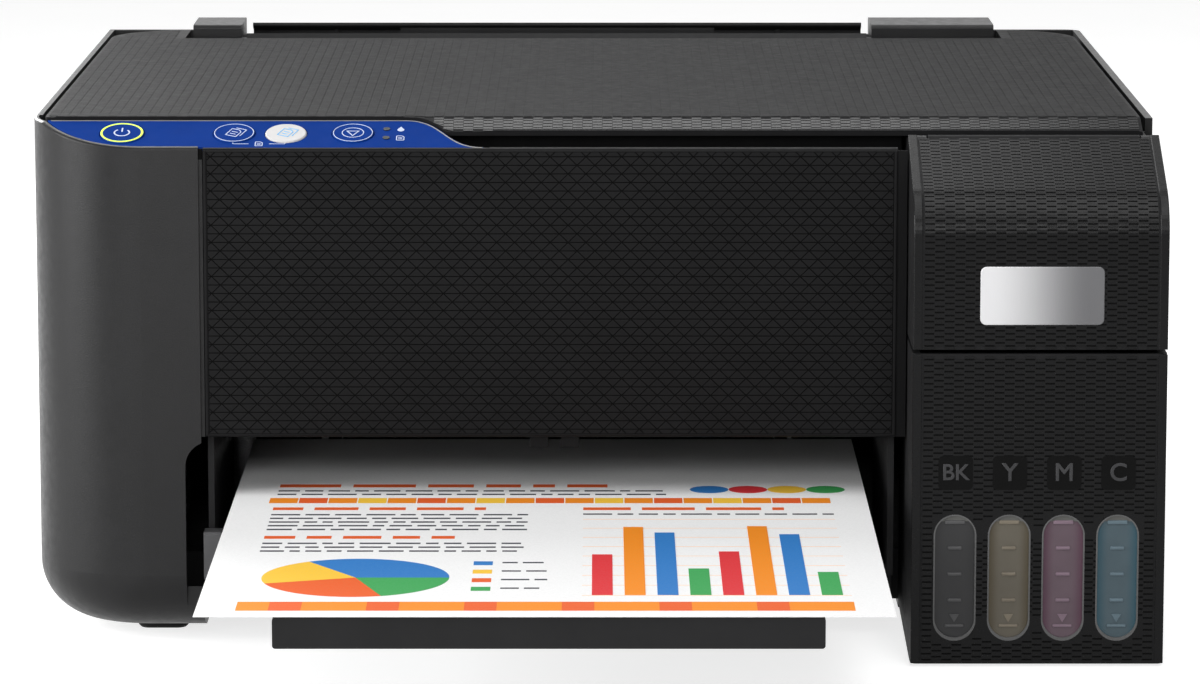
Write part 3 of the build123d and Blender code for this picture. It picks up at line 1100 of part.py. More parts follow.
def feeder_brow():
    """Curved front cover between the raised ends."""
    inner_r = FEED_SWEEP_R - WALL
    y_in = FEEDER_FRONT_Y + WALL
    outer = sweep_arc(FEEDER_FRONT_Y, SCAN_PIN_Y, FEED_SWEEP_R)
    inner = sweep_arc(y_in, SCAN_PIN_Y, inner_r)
    crown = Line(sweep_point(SCAN_PIN_Y, FEED_SWEEP_R), sweep_point(SCAN_PIN_Y, inner_r))
    foot = Polyline(sweep_point(y_in, inner_r), (y_in, FEEDER_Z0), (FEEDER_FRONT_Y, FEEDER_Z0),
                    sweep_point(FEEDER_FRONT_Y, FEED_SWEEP_R))
    face = make_face([outer, crown, inner, foot])
    return extrude(side_plane(MIDDLE_X0) * face, MIDDLE_X1 - MIDDLE_X0)


def paper_guide():
    """Curved guide from the chute's foot to the feed roller."""
    y0 = FEED_Y + ROLLER_R + 2.0
    y1 = FEEDER_TOP_Y - CHUTE_L * LEAN_SIN + 6.0
    z0 = FEED_Z + 3.8
    z1 = FEEDER_TOP_Z - CHUTE_L * LEAN_COS - 0.5
    middle = ((y0 + y1) / 2, z0 - 5.0)
    top = ThreePointArc((y0, z0), middle, (y1, z1))
    low = ThreePointArc((y0, z0 - 2.0), (middle[0], middle[1] - 2.0), (y1, z1 - 2.5))
    face = make_face([top, Line((y1, z1), (y1, z1 - 2.5)), low, Line((y0, z0 - 2.0), (y0, z0))])
    half = FEEDER_HALF_W - 7.0
    return extrude(side_plane(PATH_X - half) * face, 2 * half)


def make_rear_feeder():
    """Housing of the rear paper feed: chute, brow, raised ends and lower guide."""
    half = FEEDER_HALF_W
    back_h = -SUPPORT_T - GAP
    chute = on_incline(-half - CHUTE_T, half + CHUTE_T, -CHUTE_L, -4.0, back_h - CHUTE_T, back_h)
    parts = [chute]
    for side in (-1, 1):
        x0, x1 = sorted((side * half, side * (half + CHUTE_T)))
        wall = on_incline(x0, x1, -CHUTE_L, -9.0, back_h - 0.5, CHANNEL + 6.0)
        parts.append(wall)
    parts.append(on_incline(-half - 0.5, half + 0.5, -70.0, -11.0, CHANNEL, CHANNEL + 2.0))
    parts.append(feeder_brow())
    parts.append(on_incline(-half - 0.5, half + 0.5, -13.0, -9.5, CHANNEL, CHANNEL + 10.0))
    parts.append(block(MIDDLE_X0, MIDDLE_X1, REAR_Y - WALL, REAR_Y, FEEDER_Z0, FEEDER_TOP_Z - 2.0))
    parts.append(feeder_end(-FEEDER_END_X, MIDDLE_X0))
    parts.append(feeder_end(MIDDLE_X1, FEEDER_END_X))
    parts.append(paper_guide())
    housing = join(*parts)
    shaft = INCLINE * rod_x(-half - 10.0, half + 10.0, PICKUP_T, PICKUP_H, SHAFT_R + FIT)
    return housing - shaft


def make_pickup_roller():
    """Pick-up roller: rubber tyre with a flat, on a shaft between the chute's walls."""
    half = FEEDER_HALF_W
    tyre = rod_x(-22.0, 22.0, PICKUP_T, PICKUP_H, PICKUP_R)
    tyre = tyre - block(-23.0, 23.0, PICKUP_T - PICKUP_R, PICKUP_T + PICKUP_R, PICKUP_H + PICKUP_R - 3.0,
                        PICKUP_H + PICKUP_R + 1.0)
    shaft = rod_x(-half - CHUTE_T, half + CHUTE_T, PICKUP_T, PICKUP_H, SHAFT_R)
    return INCLINE * (tyre + shaft)


def make_paper_support():
    """Paper support: plate that slides up out of the chute, with a turned top edge."""
    half = FEEDER_HALF_W - GAP
    plate = block(-half, half, -SUPPORT_L, 0.5, -SUPPORT_T, 0.0)
    lip = block(-half, half, 0.0, 1.6, -SUPPORT_T, SUPPORT_LIP)
    lip = fillet(lip.edges().filter_by(Axis.X).sort_by(Axis.Z)[-2:], 0.7)
    slot = block(-SUPPORT_EXT_W / 2 - GAP, SUPPORT_EXT_W / 2 + GAP, -1.0, 3.0, 0.0, GAP + SUPPORT_EXT_T + GAP)
    support = plate + (lip - slot)
    for x in (-SUPPORT_RIB_X, SUPPORT_RIB_X):
        support = support + block(x - 0.8, x + 0.8, -SUPPORT_L, 0.5, -0.2, 0.8)
    return INCLINE * support


def make_support_extension():
    """Second leaf of the paper support, with a finger hole."""
    half = SUPPORT_EXT_W / 2
    leaf = block(-half, half, -2.0 - SUPPORT_EXT_L, -2.0, GAP, GAP + SUPPORT_EXT_T)
    leaf = fillet(leaf.edges().filter_by(Axis.Z).sort_by(Axis.Y)[-2:], 8.0)
    hole = Pos(0, -13.0, GAP + 1.0) * Cylinder(5.0, 6.0)
    return INCLINE * (leaf - hole)


def make_edge_guide(side):
    """Paper edge guide: upright fence on a foot; side is -1 or 1."""
    inner = side * (SHEET_W / 2 + 0.8)
    fence = sorted((inner, inner + side * 2.0))
    foot = sorted((inner, inner + side * GUIDE_W))
    h0 = GAP + SUPPORT_EXT_T + GAP
    upright = block(fence[0], fence[1], -15.0 - GUIDE_L, -15.0, h0, CHANNEL - 0.4)
    upright = fillet(upright.edges().filter_by(Axis.X).sort_by(Axis.Y)[-1], 4.0)
    base = block(foot[0], foot[1], -15.0 - GUIDE_L, -25.0, CHANNEL - 3.0, CHANNEL - 0.4)
    return INCLINE * (upright + base)


def make_output_tray():
    """Output tray: ribbed top on two side walls, with ledges for its extension."""
    y1 = TRAY_Y0 + TRAY_L
    top = block(TRAY_X0, TRAY_X1, TRAY_Y0, y1, TRAY_Z1 - TRAY_WALL, TRAY_Z1)
    parts = [top, block(TRAY_X0, TRAY_X1, y1 - TRAY_WALL, y1, TRAY_Z0, TRAY_Z1)]
    for x0, x1 in ((TRAY_X0, TRAY_X0 + TRAY_WALL), (TRAY_X1 - TRAY_WALL, TRAY_X1)):
        parts.append(block(x0, x1, TRAY_Y0, y1, TRAY_Z0, TRAY_Z1))
    for x0, x1 in ((TRAY_X0, TRAY_X0 + 3 * TRAY_WALL), (TRAY_X1 - 3 * TRAY_WALL, TRAY_X1)):
        parts.append(block(x0, x1, TRAY_Y0, y1, TRAY_Z0, TRAY_Z0 + TRAY_WALL))
    return join(*parts)


def make_tray_extension():
    """Tray extension: leaf in the tray's side grooves, with the front lip and its ribs."""
    y1 = LIP_Y + LIP_T + EXT_L
    lip = block(TRAY_X0, TRAY_X1, LIP_Y, LIP_Y + LIP_T, TRAY_Z0, TRAY_Z1)
    lip = fillet(lip.edges().filter_by(Axis.Y), 1.0)
    side = TRAY_WALL + GAP
    z0 = TRAY_Z0 + TRAY_WALL + GAP
    leaf = block(TRAY_X0 + side, TRAY_X1 - side, LIP_Y + 1.0, y1, z0, z0 + 2.0)
    leaf = fillet(leaf.edges().filter_by(Axis.Z).sort_by(Axis.Y)[-2:], 5.0)
    parts = [lip, leaf]
    for i in range(5):
        x = TRAY_X0 + TRAY_W * (i + 0.5) / 5
        parts.append(block(x - 0.8, x + 0.8, LIP_Y + 1.0, y1 - 6.0, z0 + 1.0, TRAY_Z1 - TRAY_WALL - GAP))
    return join(*parts)


def make_printed_sheet():
    """Printed sheet on the output tray."""
    y0 = FRONT_Y - SHEET_REACH
    return block(PATH_X - SHEET_W / 2, PATH_X + SHEET_W / 2, y0, y0 + SHEET_L, SHEET_Z, SHEET_Z + SHEET_T)


def all_nodes():
    """Every piece of the printer by its name."""
    nodes = {
        "left_casing": make_left_casing(),
        "right_casing": make_right_casing(),
        "base_frame": make_base_frame(),
        "rear_cover": make_rear_cover(),
        "front_panel": make_front_panel(),
        "rubber_feet": make_feet(),
        "bay_corner_guide": make_bay_corner(),
        "tank_housing": make_tank_housing(),
        "tank_cover": make_tank_cover(),
        "cover_hinge_pin": make_cover_hinge_pin(),
        "scanner_frame": make_scanner_frame(),
        "scanner_glass": make_scanner_glass(),
        "scan_bar": make_scan_bar(),
        "scan_rod": make_scan_rod(),
        "control_panel": make_control_panel(),
        "document_lid": make_document_lid(),
        "lid_pad": make_lid_pad(),
        "lid_hinge_pins": make_lid_hinge_pins(),
        "scanner_hinge_pins": make_scanner_hinge_pins(),
        "frame_plates": make_frame_plates(),
        "feed_roller": make_feed_roller(),
        "eject_roller": make_eject_roller(),
        "idler_gear": make_idler_gear(),
        "motor_pinion": make_motor_pinion(),
        "feed_motor": make_feed_motor(),
        "carriage_rail": make_carriage_rail(),
        "carriage_motor": make_carriage_motor(),
        "motor_pulley": make_pulley(MOTOR_PULLEY_X),
        "idler_pulley": make_pulley(IDLER_PULLEY_X),
        "timing_belt": make_timing_belt(),
        "print_carriage": make_print_carriage(),
        "print_head": make_print_head(),
        "platen": make_platen(),
        "capping_station": make_capping_station(),
        "main_board": make_main_board(),
        "power_supply": make_power_supply(),
        "power_inlet": make_power_inlet(),
        "usb_port": make_usb_port(),
        "rear_feeder": make_rear_feeder(),
        "pickup_roller": make_pickup_roller(),
        "paper_support": make_paper_support(),
        "support_extension": make_support_extension(),
        "edge_guide_left": make_edge_guide(-1),
        "edge_guide_right": make_edge_guide(1),
        "output_tray": make_output_tray(),
        "tray_extension": make_tray_extension(),
        "printed_sheet": make_printed_sheet(),
    }
    for index, ink in enumerate(INK_NAMES):
        nodes["ink_tank_" + ink] = make_ink_tank(index)
        nodes["tank_cap_" + ink] = make_tank_cap(index)
    for name in BUTTON_XS:
        nodes[name] = make_button(name)
    return nodes


os.makedirs("parts", exist_ok=True)
for node, shape in all_nodes().items():
    export_step(shape, f"parts/{node}.step")
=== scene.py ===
"""Looks of an inkjet printer with a flatbed scanner and side ink tanks, dressed round its CAD frame."""
from __future__ import annotations

import logging
import math
import random
from dataclasses import dataclass, field
from enum import Enum
from typing import Callable, Iterable, Sequence

import bmesh
import bpy
from mathutils import Matrix, Vector

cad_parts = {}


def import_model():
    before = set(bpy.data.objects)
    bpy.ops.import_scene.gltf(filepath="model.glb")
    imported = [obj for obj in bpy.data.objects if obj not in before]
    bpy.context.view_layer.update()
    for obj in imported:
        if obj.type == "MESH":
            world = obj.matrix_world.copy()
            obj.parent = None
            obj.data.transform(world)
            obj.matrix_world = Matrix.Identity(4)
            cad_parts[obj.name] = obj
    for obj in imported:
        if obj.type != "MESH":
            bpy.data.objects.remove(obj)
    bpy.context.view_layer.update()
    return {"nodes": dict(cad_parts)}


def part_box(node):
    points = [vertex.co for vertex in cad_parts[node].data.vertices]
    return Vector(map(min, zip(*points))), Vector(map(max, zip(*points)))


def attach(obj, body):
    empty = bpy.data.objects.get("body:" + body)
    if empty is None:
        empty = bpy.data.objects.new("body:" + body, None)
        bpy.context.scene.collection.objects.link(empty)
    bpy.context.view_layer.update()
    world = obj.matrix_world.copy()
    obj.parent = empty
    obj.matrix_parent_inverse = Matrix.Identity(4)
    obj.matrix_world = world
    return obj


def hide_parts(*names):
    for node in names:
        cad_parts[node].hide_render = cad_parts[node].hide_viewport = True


LOG = logging.getLogger("printer")
MM = 0.001

Colour = tuple[float, float, float]
Point = tuple[float, float]
Triple = tuple[float, float, float]
Shades = tuple[Colour, Colour]
Material = bpy.types.Material
Socket = bpy.types.NodeSocket
Verts = list[bmesh.types.BMVert]


def linear(red: int, green: int, blue: int) -> Colour:
    """Turns a screen colour of 0 to 255 into linear light.

    Args:
        red: red part.
        green: green part.
        blue: blue part.

    Returns:
        The colour in linear light.
    """
    parts = [value / 255 for value in (red, green, blue)]
    return tuple(p / 12.92 if p <= 0.04045 else ((p + 0.055) / 1.055) ** 2.4 for p in parts)


def shade(colour: Colour, factor: float) -> Colour:
    """Colour made lighter or darker by a factor, kept under white."""
    return tuple(min(1.0, part * factor) for part in colour)


class ShaderGraph:
    """Node tree of one material, with short calls for the nodes that the finishes need."""

    NOISE_LOW = 0.3
    NOISE_HIGH = 0.7

    def __init__(self, name: str) -> None:
        """Starts a material with a principled shader on its output."""
        self.material: Material = bpy.data.materials.new(name)
        self.material.use_nodes = True
        self.nodes = self.material.node_tree.nodes
        self.links = self.material.node_tree.links
        self.nodes.clear()
        output = self.nodes.new("ShaderNodeOutputMaterial")
        self.shader = self.nodes.new("ShaderNodeBsdfPrincipled")
        self.links.new(self.shader.outputs["BSDF"], output.inputs["Surface"])
        coordinates = self.nodes.new("ShaderNodeTexCoord")
        self.object_space = coordinates.outputs["Object"]

    def fix(self, **values: object) -> None:
        """Sets constant sockets of the shader; underscores in the names stand for spaces."""
        for name, value in values.items():
            self.shader.inputs[name.replace("_", " ")].default_value = value

    def stretched(self, scale: Triple) -> Socket:
        """Object coordinates scaled along each axis.

        Args:
            scale: factors along X, Y and Z.

        Returns:
            The mapped coordinate socket.
        """
        mapping = self.nodes.new("ShaderNodeMapping")
        mapping.inputs["Scale"].default_value = scale
        self.links.new(self.object_space, mapping.inputs["Vector"])
        return mapping.outputs["Vector"]

    def noise(self, grain_mm: float, detail: float = 2.0, vector: Socket | None = None) -> Socket:
        """Noise with lumps of about one grain size.

        Args:
            grain_mm: size of the lumps.
            detail: number of finer layers.
            vector: coordinates other than plain Object ones.

        Returns:
            The noise value socket.
        """
        node = self.nodes.new("ShaderNodeTexNoise")
        node.inputs["Scale"].default_value = 1.0 / (grain_mm * MM)
        node.inputs["Detail"].default_value = detail
        self.links.new(vector or self.object_space, node.inputs["Vector"])
        return node.outputs["Fac"]

    def mapped(self, source: Socket, start: float, end: float, low: float, high: float) -> Socket:
        """Maps a value from one range on to another.

        Args:
            source: the value.
            start: value that gives the low result.
            end: value that gives the high result.
            low: result at the start.
            high: result at the end.

        Returns:
            The mapped value socket.
        """
        node = self.nodes.new("ShaderNodeMapRange")
        for name, value in (("From Min", start), ("From Max", end), ("To Min", low), ("To Max", high)):
            node.inputs[name].default_value = value
        self.links.new(source, node.inputs["Value"])
        return node.outputs["Result"]

    def spread(self, source: Socket, low: float = 0.0, high: float = 1.0) -> Socket:
        """Maps a noise value, which stays near one half, on to a range."""
        return self.mapped(source, self.NOISE_LOW, self.NOISE_HIGH, low, high)

    def eased(self, source: Socket, start_mm: float, end_mm: float) -> Socket:
        """Passage from zero to one between two lengths, eased at both ends.

        Args:
            source: a length.
            start_mm: where the passage starts.
            end_mm: where it ends.

        Returns:
            The passage's socket.
        """
        result = self.mapped(source, start_mm * MM, end_mm * MM, 0.0, 1.0)
        result.node.interpolation_type = "SMOOTHSTEP"
        return result

    def reckon(self, operation: str, source: Socket, number: float = 0.0) -> Socket:
        """Works out one sum.

        Args:
            operation: name of the sum.
            source: its first value.
            number: its second value, if it has one.

        Returns:
            The result's socket.
        """
        node = self.nodes.new("ShaderNodeMath")
        node.operation = operation
        node.inputs[1].default_value = number
        self.links.new(source, node.inputs[0])
        return node.outputs["Value"]

    def blend(self, factor: Socket, first: Colour | Socket, second: Colour | Socket) -> Socket:
        """Mixes two colours.

        Args:
            factor: share of the second colour.
            first: colour or colour socket.
            second: colour or colour socket.

        Returns:
            The mixed colour socket.
        """
        node = self.nodes.new("ShaderNodeMix")
        node.data_type = "RGBA"
        self.links.new(factor, node.inputs["Factor"])
        for name, value in (("A", first), ("B", second)):
            socket = [s for s in node.inputs if s.name == name and s.type == "RGBA"][0]
            if isinstance(value, Socket):
                self.links.new(value, socket)
            else:
                socket.default_value = (*value, 1.0)
        return [s for s in node.outputs if s.type == "RGBA"][0]

    def mottle(self, factor: Socket, colour: Colour, dark: float, light: float) -> Socket:
        """Mixes a darker and a lighter shade of one colour.

        Args:
            factor: share of the lighter shade.
            colour: the colour.
            dark: factor of the darker shade.
            light: factor of the lighter shade.

        Returns:
            The mixed colour socket.
        """
        return self.blend(factor, shade(colour, dark), shade(colour, light))

    def coordinate(self, axis: str) -> Socket:
        """Object coordinate along X, Y or Z."""
        split = self.nodes.new("ShaderNodeSeparateXYZ")
        self.links.new(self.object_space, split.inputs["Vector"])
        return split.outputs[axis]

    def beyond(self, axis: str, edge_mm: float) -> Socket:
        """Mask that is one where an Object coordinate passes an edge."""
        return self.reckon("GREATER_THAN", self.coordinate(axis), edge_mm * MM)

    def paint(self, colour: Socket) -> None:
        """Feeds the shader's base colour."""
        self.links.new(colour, self.shader.inputs["Base Color"])

    def roughen(self, value: Socket) -> None:
        """Feeds the shader's roughness."""
        self.links.new(value, self.shader.inputs["Roughness"])

    def emboss(self, height: Socket, strength: float, depth_mm: float) -> None:
        """Feeds the shader's normal with a bump.

        Args:
            height: bump height, 0 to 1.
            strength: how much of it shows.
            depth_mm: depth of the relief.
        """
        node = self.nodes.new("ShaderNodeBump")
        node.inputs["Strength"].default_value = strength
        node.inputs["Distance"].default_value = depth_mm * MM
        self.links.new(height, node.inputs["Height"])
        self.links.new(node.outputs["Normal"], self.shader.inputs["Normal"])


@dataclass(frozen=True)
class Finish:
    """Stuff that a piece is made of; each kind dresses a shader in its own way."""

    name: str

    def dress(self, graph: ShaderGraph) -> None:
        """Sets up the shader."""
        raise NotImplementedError

    def material(self) -> Material:
        """Makes the material."""
        graph = ShaderGraph(self.name)
        self.dress(graph)
        return graph.material


@dataclass(frozen=True)
class MouldedPlastic(Finish):
    """Moulded plastic with a fine eroded grain and a slight unevenness of tone."""

    colour: Colour
    roughness: float
    specular: float
    grain_mm: float
    grain: float
    tone: float = 0.12
    patch_mm: float = 14.0
    sheen_mm: float = 3.0
    sheen: float = 0.05
    relief_mm: float = 0.05

    def dress(self, graph: ShaderGraph) -> None:
        """Sets up tone patches, an uneven sheen and the grain."""
        graph.fix(Specular_IOR_Level=self.specular)
        patches = graph.spread(graph.noise(self.patch_mm, detail=3.0))
        graph.paint(graph.mottle(patches, self.colour, 1 - self.tone, 1 + self.tone))
        sheen = graph.noise(self.sheen_mm)
        graph.roughen(graph.spread(sheen, self.roughness - self.sheen, self.roughness + self.sheen))
        graph.emboss(graph.noise(self.grain_mm), self.grain, self.relief_mm)


@dataclass(frozen=True)
class BrushedMetal(Finish):
    """Metal sheet with fine brush lines along one axis."""

    colour: Colour
    roughness: float = 0.3
    line_mm: float = 0.35
    line_scale: Triple = (0.06, 1.0, 1.0)
    tones: Point = (0.86, 1.08)
    sheen: Point = (-0.07, 0.1)
    relief: Point = (0.12, 0.02)

    def dress(self, graph: ShaderGraph) -> None:
        """Sets up brush lines in tone, sheen and relief."""
        graph.fix(Metallic=1.0)
        lines = graph.noise(self.line_mm, detail=3.0, vector=graph.stretched(self.line_scale))
        graph.paint(graph.mottle(graph.spread(lines), self.colour, *self.tones))
        graph.roughen(graph.spread(lines, *(self.roughness + part for part in self.sheen)))
        graph.emboss(lines, *self.relief)


@dataclass(frozen=True)
class GradedPlate(Finish):
    """Satin metal whose colour passes from bright to dark across its width, a painted reflection of the light
    it catches.
    """

    bright: Colour
    dark: Colour
    from_x: float
    to_x: float
    line_mm: float = 0.3
    line_scale: Triple = (1.0, 1.0, 0.05)
    metallic: float = 0.55
    roughness: Point = (0.32, 0.48)
    relief: Point = (0.06, 0.02)

    def dress(self, graph: ShaderGraph) -> None:
        """Sets up the passage of tone, a painted reflection, and faint upright lines."""
        graph.fix(Metallic=self.metallic)
        # Painted reflection: bright at the left end, dark at the right.
        sweep = graph.eased(graph.coordinate("X"), self.from_x, self.to_x)
        graph.paint(graph.blend(sweep, self.bright, self.dark))
        lines = graph.noise(self.line_mm, detail=3.0, vector=graph.stretched(self.line_scale))
        graph.roughen(graph.spread(lines, *self.roughness))
        graph.emboss(lines, *self.relief)


@dataclass(frozen=True)
class SmokedWindow(Finish):
    """Smoked ink tank wall: clouded, deeper and darker in colour towards its sides, which is painted shade,
    pale over the ink's level.
    """

    colour: Colour
    side: Colour
    centre_x: float
    half_width: float = 6.6
    side_start: float = 0.4
    side_end: float = 1.05
    level_z: float = 48.6
    air: Colour = (0.115, 0.115, 0.108)
    cloud_mm: float = 9.0
    clouds: Point = (0.93, 1.07)
    sheen_mm: float = 2.0
    roughness: Point = (0.38, 0.5)
    grain_mm: float = 0.5
    relief: Point = (0.08, 0.03)

    def dress(self, graph: ShaderGraph) -> None:
        """Sets up the clouds, the painted shade at the sides and the ink's level."""
        graph.fix(Specular_IOR_Level=0.2, Coat_Weight=0.1, Coat_Roughness=0.25)
        # Painted shade: towards the window's sides the ink colour passes into a darker side colour.
        away = graph.reckon("SUBTRACT", graph.coordinate("X"), self.centre_x * MM)
        edge = graph.eased(graph.reckon("ABSOLUTE", away), self.side_start * self.half_width,
                           self.side_end * self.half_width)
        body = graph.mottle(graph.spread(graph.noise(self.cloud_mm, detail=3.0)), self.colour, *self.clouds)
        ink = graph.blend(edge, body, self.side)
        graph.paint(graph.blend(graph.beyond("Z", self.level_z), ink, self.air))
        graph.roughen(graph.spread(graph.noise(self.sheen_mm), *self.roughness))
        graph.emboss(graph.noise(self.grain_mm), *self.relief)


@dataclass(frozen=True)
class RollerRubber(Finish):
    """Roller of three stuffs along its length: a pale gear, a steel shaft and dark rubber."""

    gear_end: float
    rubber_start: float
    rubber_end: float
    gear: Shades = ((0.62, 0.62, 0.6), (0.7, 0.7, 0.68))
    shaft: Shades = ((0.3, 0.3, 0.31), (0.38, 0.38, 0.39))
    rubber: Shades = ((0.02, 0.02, 0.02), (0.035, 0.035, 0.035))
    fibre_mm: float = 0.8
    roughness: Point = (0.4, 0.65)
    grain_mm: float = 0.25
    relief: Point = (0.2, 0.03)

    def dress(self, graph: ShaderGraph) -> None:
        """Sets up the three stuffs, each from its own place along X."""
        graph.fix(Specular_IOR_Level=0.4)
        fibre = graph.spread(graph.noise(self.fibre_mm, detail=3.0))
        stuffs = (self.gear, self.shaft, self.rubber)
        colour, shaft, rubber = (graph.blend(fibre, *shades) for shades in stuffs)
        for start, stuff in ((self.gear_end, shaft), (self.rubber_start, rubber), (self.rubber_end, shaft)):
            colour = graph.blend(graph.beyond("X", start), colour, stuff)
        graph.paint(colour)
        graph.roughen(graph.spread(fibre, *self.roughness))
        graph.emboss(graph.noise(self.grain_mm), *self.relief)


@dataclass(frozen=True)
class CircuitBoard(Finish):
    """Circuit board: green lacquer below, dark parts above its face."""

    face_x: float
    lacquer: Shades = ((0.012, 0.09, 0.035), (0.03, 0.16, 0.06))
    parts: Shades = ((0.015, 0.015, 0.016), (0.03, 0.03, 0.032))
    track_mm: float = 1.6
    roughness: Point = (0.3, 0.5)
    relief: Point = (0.15, 0.04)

    def dress(self, graph: ShaderGraph) -> None:
        """Sets up the lacquer and the parts, parted at the board's face."""
        graph.fix(Specular_IOR_Level=0.45)
        tracks = graph.spread(graph.noise(self.track_mm, detail=4.0))
        lacquer, parts = (graph.blend(tracks, *shades) for shades in (self.lacquer, self.parts))
        graph.paint(graph.blend(graph.beyond("X", self.face_x), lacquer, parts))
        graph.roughen(graph.spread(tracks, *self.roughness))
        graph.emboss(tracks, *self.relief)


@dataclass(frozen=True)
class ClearGlass(Finish):
    """Flat glass of the scanner, with a breath of dust."""

    index: float = 1.45
    dust_mm: float = 6.0
    tints: Shades = ((0.9, 0.94, 0.93), (0.95, 0.97, 0.97))
    roughness: Point = (0.01, 0.05)

    def dress(self, graph: ShaderGraph) -> None:
        """Sets up the glass and its dust."""
        graph.fix(IOR=self.index, Transmission_Weight=1.0)
        dust = graph.spread(graph.noise(self.dust_mm, detail=4.0))
        graph.paint(graph.blend(dust, *self.tints))
        graph.roughen(graph.spread(dust, *self.roughness))


@dataclass(frozen=True)
class PrintedInk(Finish):
    """Flat print or paper colour with a faint fibre."""

    colour: Colour
    roughness: float = 0.6
    glow: float = 0.0
    specular: float = 0.25
    fibre_mm: float = 0.5
    tones: Point = (0.95, 1.04)
    sheen: float = 0.06
    grain_mm: float = 0.3
    relief: Point = (0.06, 0.02)

    def dress(self, graph: ShaderGraph) -> None:
        """Sets up the colour, its fibre and, where it glows, its light."""
        graph.fix(Specular_IOR_Level=self.specular)
        if self.glow:
            graph.fix(Emission_Color=(*self.colour, 1.0), Emission_Strength=self.glow)
        fibre = graph.spread(graph.noise(self.fibre_mm, detail=3.0))
        graph.paint(graph.mottle(fibre, self.colour, *self.tones))
        graph.roughen(graph.spread(fibre, self.roughness - self.sheen, self.roughness + self.sheen))
        graph.emboss(graph.noise(self.grain_mm), *self.relief)


def corners(block: Verts) -> tuple[Vector, Vector]:
    """Lowest and highest corner of some vertices."""
    return (Vector([min(vert.co[axis] for vert in block) for axis in range(3)]),
            Vector([max(vert.co[axis] for vert in block) for axis in range(3)]))


def verts_among(items: Iterable) -> Verts:
    """Vertices among the parts of a mesh."""
    return [item for item in items if isinstance(item, bmesh.types.BMVert)]


